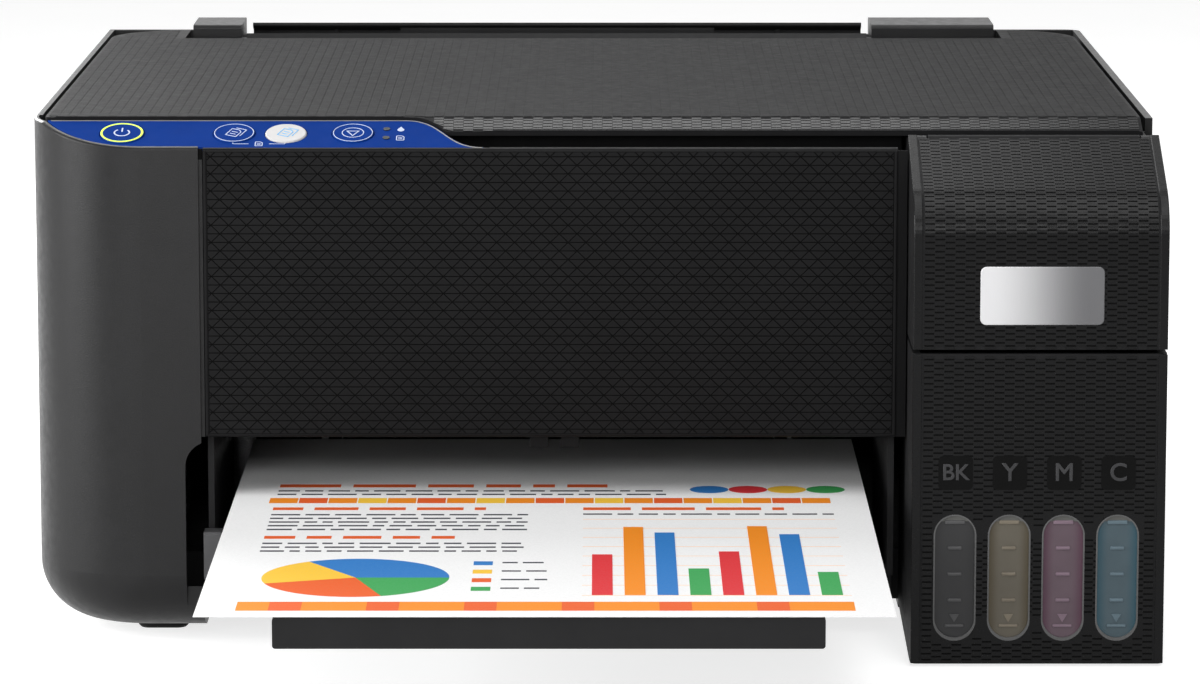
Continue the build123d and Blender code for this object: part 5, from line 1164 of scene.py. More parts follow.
@dataclass
class TankUnit(Assembly):
    """Ink tank unit: slit skins, rims, a bare plate, ink codes and window marks."""

    left_x: float = 104.5
    right_x: float = 187.5
    rim_width: float = 2.9
    rim_clearance: float = 0.3
    rim_overlap: float = 0.3
    rim_sunk: float = 0.3
    rim_shoulder: float = 0.12
    rim_rise: float = 0.32
    rim_chamfer: float = 0.3
    profile: CoverProfile = field(default_factory=CoverProfile)
    skin: SlitSkin = field(default_factory=SlitSkin)
    cover_start: float = 0.3
    cover_short: float = 2.4
    cover_rim_start: float = 0.15
    cover_rim_short: float = 0.6
    cover_rim_steps: int = 72
    plate_box: tuple[float, float, float, float] = (126.2, 166.6, 113.8, 133.0)
    plate_overlap: float = 0.5
    plate_corner: float = 2.0
    plate_depth: float = 0.8
    plate_sunk: float = 0.2
    plate_round: float = 0.25
    housing_low: float = 1.0
    housing_high: float = 104.2
    housing_margin: float = 0.4
    housing_rim_depth: float = 0.6
    housing_rim_sunk: float = 0.02
    housing_rim_short: float = 0.3
    housing_rim_round: float = 0.2
    smallest_cell: float = 1.5
    smallest_edge: float = 0.001
    smallest_bend: float = 0.01
    code_size: float = 11.3
    code_z: float = 64.8
    code_overlap: float = 0.4
    code_sunk: float = 0.1
    code_corner: float = 1.6
    code_depth: float = 0.42
    letter_lift: float = 0.44
    letter_depth: float = 0.2
    codes: tuple[tuple[str, float], ...] = (("BK", 7.4), ("Y", 8.3), ("M", 8.3), ("C", 8.3))
    window_low: float = 9.0
    window_high: float = 50.7
    window_width: float = 13.5
    window_rim: float = 0.25
    window_steps: int = 12
    window_sunk: float = 0.6
    window_depth: float = 0.85
    window_round: float = 0.2
    window_trim: Triple = (0.5, 1.0, 0.3)
    sharp: float = 1.0
    marks: tuple[Triple, ...] = ((48.3, 6.6, 1.3), (39.7, 4.6, 1.1), (31.0, 4.6, 1.1), (22.3, 4.6, 1.1),
                                 (13.7, 6.3, 0.9))
    mark_depth: float = 0.8
    mark_round: float = 0.28
    arrow: tuple[Point, ...] = ((-1.6, 1.3), (0.0, -1.4), (1.6, 1.3))
    arrow_z: float = 16.3
    arrow_depth: float = 0.45

    @property
    def front_y(self) -> float:
        """Y of the unit's upright front."""
        return self.profile.front_y

    def build(self) -> None:
        """Makes all the pieces of the tank unit."""
        self.build_cover()
        self.build_plate()
        self.build_housing()
        self.build_codes()
        self.build_windows()
        self.build_marks()

    def columns(self) -> tuple[int, float]:
        """Number of skin columns between the rims, and the middle of the first."""
        pitch = self.skin.column_pitch
        room = self.right_x - self.left_x - 2 * self.rim_width - 2 * self.rim_clearance
        count = int(room / pitch)
        spare = room - count * pitch
        return count, self.left_x + self.rim_width + self.rim_clearance + spare / 2 + pitch / 2

    def rim_middles(self) -> tuple[float, float]:
        """Middles of the left and the right rim."""
        return self.left_x + self.rim_width / 2, self.right_x - self.rim_width / 2

    def within(self, block: Verts) -> bool:
        """Whether a cell of the skin lies between the rims."""
        low, high = corners(block)
        reach = self.rim_width - self.rim_overlap
        return low.x > self.left_x + reach and high.x < self.right_x - reach

    def off_plate(self, block: Verts) -> bool:
        """Whether a cell lies between the rims and not wholly under the plate."""
        left, right, bottom, top = self.plate_box
        low, high = corners(block)
        lap = self.plate_overlap
        under = low.x > left + lap and high.x < right - lap and low.z > bottom + lap and high.z < top - lap
        return self.within(block) and not under

    def off_window(self, block: Verts, x: float) -> bool:
        """Pushes a cell's corners straight out of a window, and closes its slit at the round ends.

        Args:
            block: vertices of the cell.
            x: middle of the window.

        Returns:
            False for a cell that lies wholly in the window.
        """
        radius = self.window_width / 2 + self.window_rim
        ends = (self.window_low + self.window_width / 2, self.window_high - self.window_width / 2)

        def outwards(point: Vector) -> Vector:
            """Way to a point from the window's middle line."""
            return point - Vector((x, point.y, min(max(point.z, ends[0]), ends[1])))

        if all(outwards(vert.co).length < radius for vert in block):
            return False
        bent = False
        for vert in block:
            away = outwards(vert.co)
            if 0.0 < away.length < radius:
                bent = bent or abs(away.z) > self.smallest_bend
                vert.co += away.normalized() * radius - away
        if bent:
            outer = [vert.co for vert in block if len(vert.link_faces) < 3]
            centre = sum(outer, Vector()) / len(outer)
            for vert in block:
                if len(vert.link_faces) > 2:
                    vert.co = centre
        return True

    def off_codes_and_windows(self, block: Verts) -> bool:
        """Trims a cell to the windows, and tells whether enough of it is left outside windows and codes.

        Args:
            block: vertices of the cell.

        Returns:
            True for a cell to keep.
        """
        if not self.within(block):
            return False
        half = self.code_size / 2 - self.code_overlap
        for x in INK_XS.values():
            low, high = corners(block)
            hidden = low.x > x - half and high.x < x + half and abs((low.z + high.z) / 2 - self.code_z) < half
            if hidden or not self.off_window(block, x):
                return False
        faces = {face for vert in block for face in vert.link_faces}
        return sum(face.calc_area() for face in faces) > self.smallest_cell

    def build_cover(self) -> None:
        """Makes the cover's skin and rims."""
        count, first = self.columns()
        blank = Blank()
        self.skin.lay(blank, lambda s: self.profile.place(s + self.cover_start),
                      self.profile.length - self.cover_short, count, first)
        blank.keep(self.off_plate)
        blank.finish("cover_skin", self.dressed(Tone.SKIN, Tone.GROOVE), "tank_cover", "textured_plastic")
        rims = Blank()
        for x in self.rim_middles():
            self.cover_rim(rims, x)
        rims.finish("cover_rims", self.dressed(Tone.SKIN), "tank_cover", "textured_plastic")

    def cover_rim(self, blank: Blank, x: float) -> None:
        """Adds one plain rim along the cover's profile.

        Args:
            blank: mesh to add to.
            x: middle of the rim.
        """
        half = self.rim_width / 2
        crown = half - self.rim_chamfer
        section = [(-half, -self.rim_sunk), (half, -self.rim_sunk), (half, self.rim_shoulder),
                   (crown, self.rim_rise), (-crown, self.rim_rise), (-half, self.rim_shoulder)]
        upright = Matrix.Rotation(math.pi / 2, 4, "X")
        reach = self.profile.length - self.cover_rim_short
        rings = []
        for step in range(self.cover_rim_steps + 1):
            place = self.profile.place(self.cover_rim_start + reach * step / self.cover_rim_steps)
            rings.append(blank.ring(section, Matrix.Translation((x, 0.0, 0.0)) @ place @ upright))
        loops = [blank.loop(ring) for ring in rings]
        for first, second in zip(loops, loops[1:]):
            bmesh.ops.bridge_loops(blank.bm, edges=first + second)
        for ring in (rings[0], rings[-1]):
            blank.bm.faces.new(ring)
        blank.turn_out([vert for ring in rings for vert in ring])

    def build_plate(self) -> None:
        """Makes the bare plate on the cover."""
        left, right, bottom, top = self.plate_box
        plate = Blank()
        place = facing((left + right) / 2, self.front_y + self.plate_sunk, (bottom + top) / 2)
        plate.slab(rounded(right - left, top - bottom, self.plate_corner), self.plate_depth, place)
        halfway = self.front_y + self.plate_sunk - self.plate_depth / 2
        front = [edge for edge in plate.bm.edges if all(vert.co.y < halfway for vert in edge.verts)]
        plate.bevel(front, self.plate_round)
        plate.finish("bare_plate", self.dressed(Tone.PLATE), "tank_cover", "steel")

    def build_housing(self) -> None:
        """Makes the housing's skin and rims."""
        count, first = self.columns()
        height = self.housing_high - self.housing_low
        start = self.housing_low + self.housing_margin
        blank = Blank()
        self.skin.lay(blank, lambda s: facing(0.0, self.front_y, start + s), height - 2 * self.housing_margin,
                      count, first)
        blank.keep(self.off_codes_and_windows)
        bmesh.ops.dissolve_degenerate(blank.bm, dist=self.smallest_edge, edges=blank.bm.edges[:])
        blank.finish("housing_skin", self.dressed(Tone.SKIN, Tone.GROOVE), "chassis", "textured_plastic")
        rims = Blank()
        for x in self.rim_middles():
            place = facing(x, self.front_y + self.housing_rim_sunk, self.housing_low + height / 2)
            size = (self.rim_width, height - self.housing_rim_short, self.housing_rim_depth)
            rims.plate(size, place, self.housing_rim_round)
        rims.finish("housing_rims", self.dressed(Tone.SKIN), "chassis", "textured_plastic")

    def build_codes(self) -> None:
        """Makes the squares over the windows and the ink codes on them."""
        codes = Blank()
        for (code, height), x in zip(self.codes, INK_XS.values()):
            place = facing(x, self.front_y + self.code_sunk, self.code_z)
            codes.slab(rounded(self.code_size, self.code_size, self.code_corner), self.code_depth, place)
            lifted = place @ Matrix.Translation((0, 0, self.letter_lift))
            codes.lettering(code, height, self.letter_depth, lifted, 1)
        tones = self.dressed(Tone.CODE_SQUARE, Tone.CODE_LETTER)
        codes.finish("ink_codes", tones, "chassis", "textured_plastic")

    def build_windows(self) -> None:
        """Makes the window rims."""
        rims = Blank()
        width, height = self.window_width, self.window_high - self.window_low
        grow = 2 * self.window_rim
        narrow, short, shift = self.window_trim
        outer = rounded(width + grow, height + grow, width / 2 + self.window_rim, self.window_steps)
        inner = rounded(width - narrow, height - short, (width - narrow) / 2, self.window_steps)
        inner = [(u, v + shift) for u, v in inner]
        for x in INK_XS.values():
            place = facing(x, self.front_y + self.window_sunk, (self.window_low + self.window_high) / 2)
            rims.band(outer, inner, self.window_depth, place)
        halfway = self.front_y + self.window_sunk - self.window_depth / 2
        front = [edge for edge in rims.bm.edges if all(vert.co.y < halfway for vert in edge.verts)
                 and len(edge.link_faces) == 2 and edge.calc_face_angle(0.0) > self.sharp]
        rims.bevel(front, self.window_round)
        rims.finish("window_rims", self.dressed(Tone.WINDOW_RIM), "chassis", "textured_plastic")

    def build_marks(self) -> None:
        """Makes the raised marks on the ink tanks, each a lighter copy of its ink's colour, a painted
        highlight.
        """
        for ink, x in INK_XS.items():
            blank = Blank()
            for z, width, height in self.marks:
                place = facing(x, self.front_y + self.mark_depth / 2, z)
                blank.plate((width, height, self.mark_depth), place, self.mark_round)
            blank.slab(self.arrow, self.arrow_depth, facing(x, self.front_y + self.window_sunk, self.arrow_z))
            tones = self.dressed(Tone["MARK_" + ink.upper()])
            blank.finish("window_marks_" + ink, tones, "chassis", "ink_" + ink)


SWOOP = ((-62.0, -41.3), (-49.0, -41.3), (-49.0, -60.6), (-36.0, -60.6))


@dataclass
class ScanLid(Assembly):
    """Document lid: slit skin over its flat top and its sloping lip, plain edges, and the mat underneath."""

    half_width: float = 182.5
    top_z: float = 175.5
    lip_y: float = -50.7
    lip_z: float = 171.9
    crease_y: float = -40.7
    rear_y: float = 208.5
    horn_x: float = 154.5
    horn_y: float = 238.5
    corner: float = 28.0
    edge: float = 0.9
    lip_margin: float = 0.2
    swoop_margin: float = 0.5
    lip_start: float = 0.3
    lid_start: float = 0.1
    strip_depth: float = 0.4
    strip_round: float = 0.14
    strip_lift: float = 0.05
    strip_inset: float = 1.0
    back_strip_width: float = 0.9
    back_strip_inset: float = 3.5
    back_strip_y: float = -39.9
    front_strip_width: float = 0.8
    front_strip_gap: float = 3.0
    front_strip_at: float = 0.55
    mat_round: float = 1.1
    mat_runs: int = 4
    skin: SlitSkin = field(default_factory=lambda: SlitSkin(row_pitch=2.1, slit_width=2.9, seam=0.14))

    @property
    def lip_run(self) -> float:
        """Depth of the lip, from front to back."""
        return self.crease_y - self.lip_y

    @property
    def lip_climb(self) -> float:
        """Height of the lip."""
        return self.top_z - self.lip_z

    @property
    def lip_length(self) -> float:
        """Length of the lip along its slope."""
        return math.hypot(self.lip_run, self.lip_climb)

    def place(self, length: float) -> Matrix:
        """Place on the lid at a length along its profile, from the lip's lower edge.

        Args:
            length: length along the profile.

        Returns:
            The place's matrix, at X zero.
        """
        if length < self.lip_length:
            share = length / self.lip_length
            return facing(0.0, self.lip_y + self.lip_run * share, self.lip_z + self.lip_climb * share,
                          math.atan2(self.lip_run, self.lip_climb))
        return facing(0.0, self.crease_y + length - self.lip_length, self.top_z, math.pi / 2)

    def swoop_edge(self, x: float) -> float:
        """Y of the lid's edge beside the control panel.

        Args:
            x: where along the edge.

        Returns:
            The edge's Y.
        """
        path = bezier(SWOOP)
        for (x0, y0), (x1, y1) in zip(path, path[1:]):
            if x0 <= x <= x1:
                return y0 + (y1 - y0) * (x - x0) / (x1 - x0) + self.edge
        return path[0 if x < path[0][0] else -1][1] + self.edge

    def on_lid(self, block: Verts) -> bool:
        """Whether a cell lies on the lid; one that the swoop cuts is pushed back to it.

        Args:
            block: vertices of the cell.

        Returns:
            True for a cell to keep.
        """
        low, high = corners(block)
        reach = max(abs(low.x), abs(high.x))
        if reach > self.half_width - self.edge or low.y < self.lip_y + self.lip_margin:
            return False
        if low.x < SWOOP[0][0] + self.swoop_margin and low.y < self.crease_y + self.edge:
            return False
        if low.x < SWOOP[3][0] and low.y < self.crease_y:
            middle = (low + high) / 2
            if middle.y < self.swoop_edge(middle.x):
                return False
            for vert in block:
                back = max(self.swoop_edge(vert.co.x) - vert.co.y, 0.0)
                vert.co += Vector((0.0, back, back * (self.lip_climb / self.lip_run)))
        if min(abs(low.x), abs(high.x)) < self.horn_x + self.edge:
            return high.y < self.rear_y - self.edge
        across, along = reach - (self.half_width - self.corner), high.y - (self.horn_y - self.corner)
        return along < 0 or math.hypot(across, along) < self.corner - self.edge

    def build(self) -> None:
        """Makes the lid's skin, edges and mat."""
        lip = self.lip_length
        self.build_skin("lip_skin", Tone.SKIN, self.lip_start, lip - self.lip_margin)
        self.build_skin("lid_skin", Tone.LID, lip + self.lid_start, lip + self.horn_y - self.crease_y)
        self.build_edges()
        self.build_mat()

    def build_skin(self, name: str, tone: Tone, start: float, end: float) -> None:
        """Makes the two halves of one band of the skin.

        Args:
            name: start of the pieces' names.
            tone: finish of the skin.
            start: where the band starts along the profile.
            end: where it ends.
        """
        pitch = self.skin.column_pitch
        count = int(2 * self.half_width / pitch)
        first = -(count - 1) / 2 * pitch
        split = count // 4 * 2
        halves = (("left", split, first), ("right", count - split, first + split * pitch))
        for side, columns, begin in halves:
            blank = Blank()
            self.skin.lay(blank, lambda s: self.place(s + start), end - start, columns, begin)
            blank.keep(self.on_lid)
            blank.finish(f"{name}_{side}", self.dressed(tone, Tone.GROOVE), "lid", "textured_plastic")

    def build_edges(self) -> None:
        """Makes the plain strips along the lid's front edges."""
        blank = Blank()
        left, right = -self.half_width + self.back_strip_inset, SWOOP[0][0] - self.strip_inset
        back = facing((left + right) / 2, self.back_strip_y, self.top_z + self.strip_lift, math.pi / 2)
        blank.plate((right - left, self.back_strip_width, self.strip_depth), back, self.strip_round)
        left, right = SWOOP[3][0] + self.front_strip_gap, self.half_width - self.strip_inset
        front = Matrix.Translation(((left + right) / 2, 0.0, self.strip_lift)) @ self.place(self.front_strip_at)
        blank.plate((right - left, self.front_strip_width, self.strip_depth), front, self.strip_round)
        blank.finish("lid_edges", self.dressed(Tone.LID), "lid", "textured_plastic")

    def build_mat(self) -> None:
        """Makes the white foam mat that presses the page on to the glass."""
        low, high = (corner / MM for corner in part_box("lid_pad"))
        blank = Blank()
        blank.plate(high - low, Matrix.Translation((low + high) / 2), self.mat_round, self.mat_runs)
        mat = blank.finish("lid_mat", self.dressed(Tone.FOAM), "lid", "white_foam", smooth=True)
        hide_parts("lid_pad")


@dataclass
class ControlPanel(Assembly):
    """Control panel: ring, printed symbols, lamps and a trim line, each on the body that carries it."""

    middle_y: float = -50.95
    middle_z: float = 171.2
    tilt: float = math.radians(18.879)
    sunk: float = 0.03
    button_rise: float = 0.4
    stroke: float = 0.3
    print_depth: float = 0.1
    ring_sides: int = 56
    power_x: float = -156.0
    power_ring: Point = (7.1, 0.72)
    power_arc: float = 2.5
    power_arc_sides: int = 28
    power_sweep: Point = (math.radians(125), math.radians(290))
    power_stroke: float = 0.5
    power_bar: tuple[Point, Point] = ((0.0, 0.6), (0.0, 3.4))
    black_x: float = -118.8
    colour_x: float = -101.6
    stop_x: float = -79.4
    button_ring: Point = (6.6, 0.26)
    stop_ring: Point = (3.7, 0.3)
    stop_triangle: Point = (2.6, 1.9)
    pages_size: float = 5.0
    pages_turn: float = math.radians(-24.0)
    lamp_x: float = -68.3
    lamp_v: float = 3.3
    lamp_radius: float = 1.15
    lamp_depth: float = 0.3
    lamp_sides: int = 24
    symbol_x: float = -63.6
    drop_v: float = 2.9
    drop_tip: float = 2.3
    drop_sides: int = 18
    drop_sweep: Point = (math.radians(140), math.radians(260))
    page_size: float = 3.2
    page_shape: Triple = (0.38, 0.5, 0.24)
    page_words: Point = (-0.18, 0.12)
    page_words_reach: float = 0.55
    page_offset: float = 0.2
    bracket_v: float = -7.7
    bracket_tall: float = 1.2
    bracket_gap: float = 3.4
    bracket_page: float = 3.0
    trim_start: Point = (-180.4, -41.75)
    trim_off: Point = (-0.3, -0.45)
    trim_width: float = 0.4
    trim_depth: float = 0.16

    def place(self, x: float, v: float = 0.0, rise: float = 0.0) -> Matrix:
        """Place on the panel's sloping face.

        Args:
            x: place to the right.
            v: place up the slope from its middle.
            rise: height over the face.

        Returns:
            The place's matrix.
        """
        lift = rise - self.sunk
        y = self.middle_y + v * math.cos(self.tilt) - lift * math.sin(self.tilt)
        z = self.middle_z + v * math.sin(self.tilt) + lift * math.cos(self.tilt)
        return facing(x, y, z, math.pi / 2 - self.tilt)

    def line(self, blank: Blank, path: Sequence[Point], place: Matrix, slot: int = 0,
             width: float = 0.0) -> None:
        """Adds a printed line along a path."""
        blank.slab(ribbon(path, width or self.stroke), self.print_depth, place, slot)

    def lines(self, blank: Blank, points: Sequence[Point], place: Matrix) -> None:
        """Adds a printed line from each point to the next."""
        for ends in zip(points, points[1:]):
            self.line(blank, ends, place)

    def ring(self, blank: Blank, size: Point, place: Matrix) -> None:
        """Adds a printed ring.

        Args:
            blank: mesh to add to.
            size: its outer radius and the width of its line.
            place: its middle.
        """
        radius, stroke = size
        outer, inner = (circle(reach, self.ring_sides) for reach in (radius, radius - stroke))
        blank.band(outer, inner, self.print_depth, place)

    def page(self, blank: Blank, place: Matrix, size: float) -> None:
        """Adds a page symbol: a sheet outline with a folded corner and two lines of words.

        Args:
            blank: mesh to add to.
            place: middle of the symbol.
            size: its height.
        """
        wide, tall, fold = (size * share for share in self.page_shape)
        edge = [(-wide, -tall), (wide, -tall), (wide, tall - fold), (wide - fold, tall), (-wide, tall)]
        self.lines(blank, edge + edge[:1], place)
        reach = wide * self.page_words_reach
        for v in self.page_words:
            self.line(blank, ((-reach, v * size), (reach, v * size)), place)

    def pages(self, blank: Blank, place: Matrix) -> None:
        """Adds a slanting page symbol with the edge of a second page behind it.

        Args:
            blank: mesh to add to.
            place: middle of the symbol.
        """
        turned = place @ Matrix.Rotation(self.pages_turn, 4, "Z")
        self.page(blank, turned, self.pages_size)
        wide, tall, _ = (self.pages_size * share for share in self.page_shape)
        back = self.pages_size * self.page_offset
        behind = [(-wide + back, tall + back), (wide + back, tall + back), (wide + back, -tall + back)]
        self.lines(blank, behind, turned)

    def build(self) -> None:
        """Makes the symbols of all four buttons, the lamps, the signs and the trim line."""
        self.build_power()
        self.build_copy_and_stop()
        self.build_signs()
        self.build_trim()

    def build_power(self) -> None:
        """Makes the print on the power button."""
        blank = Blank()
        top = self.place(self.power_x, 0.0, self.button_rise)
        self.ring(blank, self.power_ring, top)
        arc = circle(self.power_arc, self.power_arc_sides, *self.power_sweep)
        for path in (arc, self.power_bar):
            self.line(blank, path, top, 1, self.power_stroke)
        blank.finish("power_print", self.dressed(Tone.RING, Tone.SYMBOL), "power_button", "button_dark")

    def build_copy_and_stop(self) -> None:
        """Makes the prints on the two copy buttons and the stop button."""
        black = Blank()
        top = self.place(self.black_x, 0.0, self.button_rise)
        self.ring(black, self.button_ring, top)
        self.pages(black, top)
        black.finish("black_copy_print", self.dressed(Tone.SYMBOL), "black_copy_button", "button_dark")
        colour = Blank()
        self.pages(colour, self.place(self.colour_x, 0.0, self.button_rise))
        colour.finish("colour_copy_print", self.dressed(Tone.SYMBOL_BLUE), "colour_copy_button", "button_light")
        stop = Blank()
        top = self.place(self.stop_x, 0.0, self.button_rise)
        for size in (self.button_ring, self.stop_ring):
            self.ring(stop, size, top)
        outer, inner = (circle(radius, 3, -math.pi / 2) for radius in self.stop_triangle)
        stop.band(outer, inner, self.print_depth, top)
        stop.finish("stop_print", self.dressed(Tone.SYMBOL), "stop_button", "button_dark")

    def build_signs(self) -> None:
        """Makes the lamps and the small signs on the panel itself."""
        signs = Blank()
        for v in (-self.lamp_v, self.lamp_v):
            lamp = circle(self.lamp_radius, self.lamp_sides)
            signs.slab(lamp, self.lamp_depth, self.place(self.lamp_x, v), 1)
        drop = circle(self.lamp_radius, self.drop_sides, *self.drop_sweep) + [(0.0, self.drop_tip)]
        signs.slab(drop, self.print_depth, self.place(self.symbol_x, self.drop_v))
        self.page(signs, self.place(self.symbol_x, -self.lamp_v), self.page_size)
        low = self.place((self.black_x + self.colour_x) / 2, self.bracket_v)
        reach = (self.colour_x - self.black_x) / 2
        for side in (-1, 1):
            bracket = [(side * reach, self.bracket_tall), (side * reach, 0.0), (side * self.bracket_gap, 0.0)]
            self.lines(signs, bracket, low)
        self.page(signs, low, self.bracket_page)
        signs.finish("panel_signs", self.dressed(Tone.SYMBOL, Tone.LAMP_OFF), "scanner_unit", "control_blue")

    def build_trim(self) -> None:
        """Makes the trim line along the panel's rear edge."""
        trim = Blank()
        across, along = self.trim_off
        path = [self.trim_start] + [(x + across, y + along) for x, y in bezier(SWOOP)]
        path = [(x, (y - self.middle_y) / math.cos(self.tilt)) for x, y in path]
        trim.slab(ribbon(path, self.trim_width), self.trim_depth, self.place(0.0))
        trim.finish("panel_trim", self.dressed(Tone.TRIM), "scanner_unit", "grey_plastic")


class Ink(Enum):
    """Colours of the print."""

    ORANGE = linear(238, 140, 34)
    BLUE = linear(48, 120, 190)
    GREEN = linear(60, 156, 84)
    RED = linear(214, 52, 58)
    YELLOW = linear(244, 196, 64)
    BLACK = linear(52, 54, 60)
    RUST = linear(226, 96, 40)
    PEACH = linear(248, 208, 176)

    @property
    def slot(self) -> int:
        """Number of the sheet's material slot."""
        return list(Ink).index(self)


@dataclass(frozen=True)
class WordBlock:
    """Rows of word-like dashes, the first one at the back."""

    x: float
    y: float
    width: float
    height: float
    ink: Ink
    seed: int
    rows: int = 1
    pitch: float = 6.2


@dataclass
class PrintedPage(Assembly):
    """Print on the sheet: plain bars, blocks and discs in a layout of its own.

    Places are measured from the sheet's front left corner.
    """

    left_x: float = -119.0
    front_y: float = -253.5
    top_z: float = 51.25
    sunk: float = 0.02
    depth: float = 0.04
    word_lengths: Point = (1.4, 4.6)
    word_gap: float = 0.8
    shortest_word: float = 3.0
    tiles: int = 19
    tile_x: float = 12.0
    tile_pitch: float = 9.8
    rear_tile: Triple = (178.0, 9.4, 9.0)
    front_tile: Triple = (8.0, 9.8, 13.0)
    rear_inks: tuple[Ink, ...] = (Ink.ORANGE, Ink.RUST, Ink.ORANGE, Ink.YELLOW)
    front_inks: tuple[Ink, ...] = (Ink.ORANGE, Ink.RUST, Ink.ORANGE)
    heading: tuple[WordBlock, ...] = (WordBlock(14.0, 206.0, 110.0, 5.2, Ink.RUST, 6),
                                      WordBlock(14.0, 198.5, 132.0, 2.2, Ink.BLACK, 10, 2))
    text: tuple[WordBlock, ...] = (WordBlock(14.0, 166.0, 70.0, 4.6, Ink.RUST, 3),
                                   WordBlock(14.0, 157.0, 84.0, 2.2, Ink.BLACK, 20, 5),
                                   WordBlock(14.0, 118.0, 62.0, 4.6, Ink.RUST, 4),
                                   WordBlock(14.0, 109.5, 84.0, 2.2, Ink.BLACK, 40, 3))
    caption: tuple[WordBlock, ...] = (WordBlock(116.0, 166.0, 66.0, 4.6, Ink.RUST, 5),
                                      WordBlock(116.0, 158.0, 82.0, 2.2, Ink.BLACK, 70))
    dot_inks: tuple[Ink, ...] = (Ink.BLUE, Ink.RED, Ink.YELLOW, Ink.GREEN)
    dot_place: Point = (158.0, 202.0)
    dot_pitch: float = 13.0
    dot_radius: float = 6.5
    dot_sides: int = 20
    pie_place: Point = (46.0, 57.0)
    pie_radius: float = 29.0
    slice_sides: int = 24
    slices: tuple[tuple[float, float, Ink], ...] = ((0.0, 0.34, Ink.BLUE), (0.34, 0.55, Ink.YELLOW),
                                                    (0.55, 0.8, Ink.RUST), (0.8, 1.0, Ink.GREEN))
    key_place: Point = (82.0, 76.0)
    key_pitch: float = 13.0
    key_size: float = 6.0
    key_words: WordBlock = WordBlock(91.0, 79.0, 16.0, 2.0, Ink.BLACK, 60, 4, 13.0)
    grid_place: Point = (116.0, 30.0)
    grid_size: Point = (82.0, 0.7)
    grid_lines: int = 9
    grid_pitch: float = 15.0
    columns: int = 8
    column_x: float = 119.0
    column_pitch: float = 10.0
    column_width: float = 6.4
    column_heights: Point = (18.0, 92.0)
    column_wave: Point = (0.8, 0.5)
    column_coats: int = 2
    column_inks: tuple[Ink, ...] = (Ink.RED, Ink.ORANGE, Ink.BLUE, Ink.GREEN)

    def spot(self, x: float, y: float) -> Matrix:
        """Place on the sheet."""
        return Matrix.Translation((self.left_x + x, self.front_y + y, self.top_z - self.sunk))

    def bar(self, blank: Blank, x: float, y: float, width: float, length: float, ink: Ink,
            coats: int = 1) -> None:
        """Adds a printed block.

        Args:
            blank: mesh to add to.
            x: its left edge.
            y: its front edge.
            width: its size across.
            length: its size along the sheet.
            ink: its colour.
            coats: height of the ink, in coats.
        """
        u, v = width / 2, length / 2
        outline = [(-u, -v), (u, -v), (u, v), (-u, v)]
        blank.slab(outline, coats * self.depth, self.spot(x + u, y + v), ink.slot)

    def words(self, blank: Blank, block: WordBlock) -> None:
        """Adds rows of word-like dashes, each row with a draw of its own.

        Args:
            blank: mesh to add to.
            block: the rows.
        """
        for row in range(block.rows):
            draw = random.Random(block.seed + row)
            y, start = block.y - block.pitch * row, 0.0
            while start < block.width - self.shortest_word:
                length = min(draw.uniform(*self.word_lengths) * block.height, block.width - start)
                self.bar(blank, block.x + start, y, length, block.height, block.ink)
                start += length + self.word_gap * block.height

    def build(self) -> None:
        """Makes the print."""
        blank = Blank()
        self.add_tiles(blank)
        for block in self.heading:
            self.words(blank, block)
        x, y = self.dot_place
        disc = circle(self.dot_radius, self.dot_sides)
        for dot, ink in enumerate(self.dot_inks):
            blank.slab(disc, self.depth, self.spot(x + self.dot_pitch * dot, y), ink.slot)
        for block in self.text:
            self.words(blank, block)
        self.add_pie(blank)
        self.add_columns(blank)
        for block in self.caption:
            self.words(blank, block)
        inks = [PrintedInk("print_ink_" + ink.name.lower(), ink.value).material() for ink in Ink]
        blank.finish("sheet_print", inks, "printed_sheet", "paper")

    def add_tiles(self, blank: Blank) -> None:
        """Adds the two rows of tiles across the sheet."""
        rows = ((self.rear_tile, self.rear_inks), (self.front_tile, self.front_inks))
        for tile in range(self.tiles):
            x = self.tile_x + self.tile_pitch * tile
            for (y, width, length), inks in rows:
                self.bar(blank, x, y, width, length, inks[tile % len(inks)])

    def add_pie(self, blank: Blank) -> None:
        """Adds the sliced disc and its key."""
        radius, x, y = self.pie_radius, *self.key_place
        for row, (start, end, ink) in enumerate(self.slices):
            first, last = 2 * math.pi * start, 2 * math.pi * end
            arc = circle(radius, self.slice_sides, first, 2 * math.pi * (end - start))
            wedge = [(0.0, 0.0), *arc, (radius * math.cos(last), radius * math.sin(last))]
            blank.slab(wedge, self.depth, self.spot(*self.pie_place), ink.slot)
            self.bar(blank, x, y - self.key_pitch * row, self.key_size, self.key_size, ink)
        self.words(blank, self.key_words)

    def add_columns(self, blank: Blank) -> None:
        """Adds the columns and the lines behind them."""
        x, y = self.grid_place
        width, line_width = self.grid_size
        for line in range(self.grid_lines):
            self.bar(blank, x, y + self.grid_pitch * line, width, line_width, Ink.PEACH)
        lowest, rise = self.column_heights
        step, start = self.column_wave
        for column in range(self.columns):
            height = lowest + rise * abs(math.sin(step * column + start))
            left = self.column_x + self.column_pitch * column
            ink = self.column_inks[column % len(self.column_inks)]
            self.bar(blank, left, y + line_width, self.column_width, height, ink, self.column_coats)


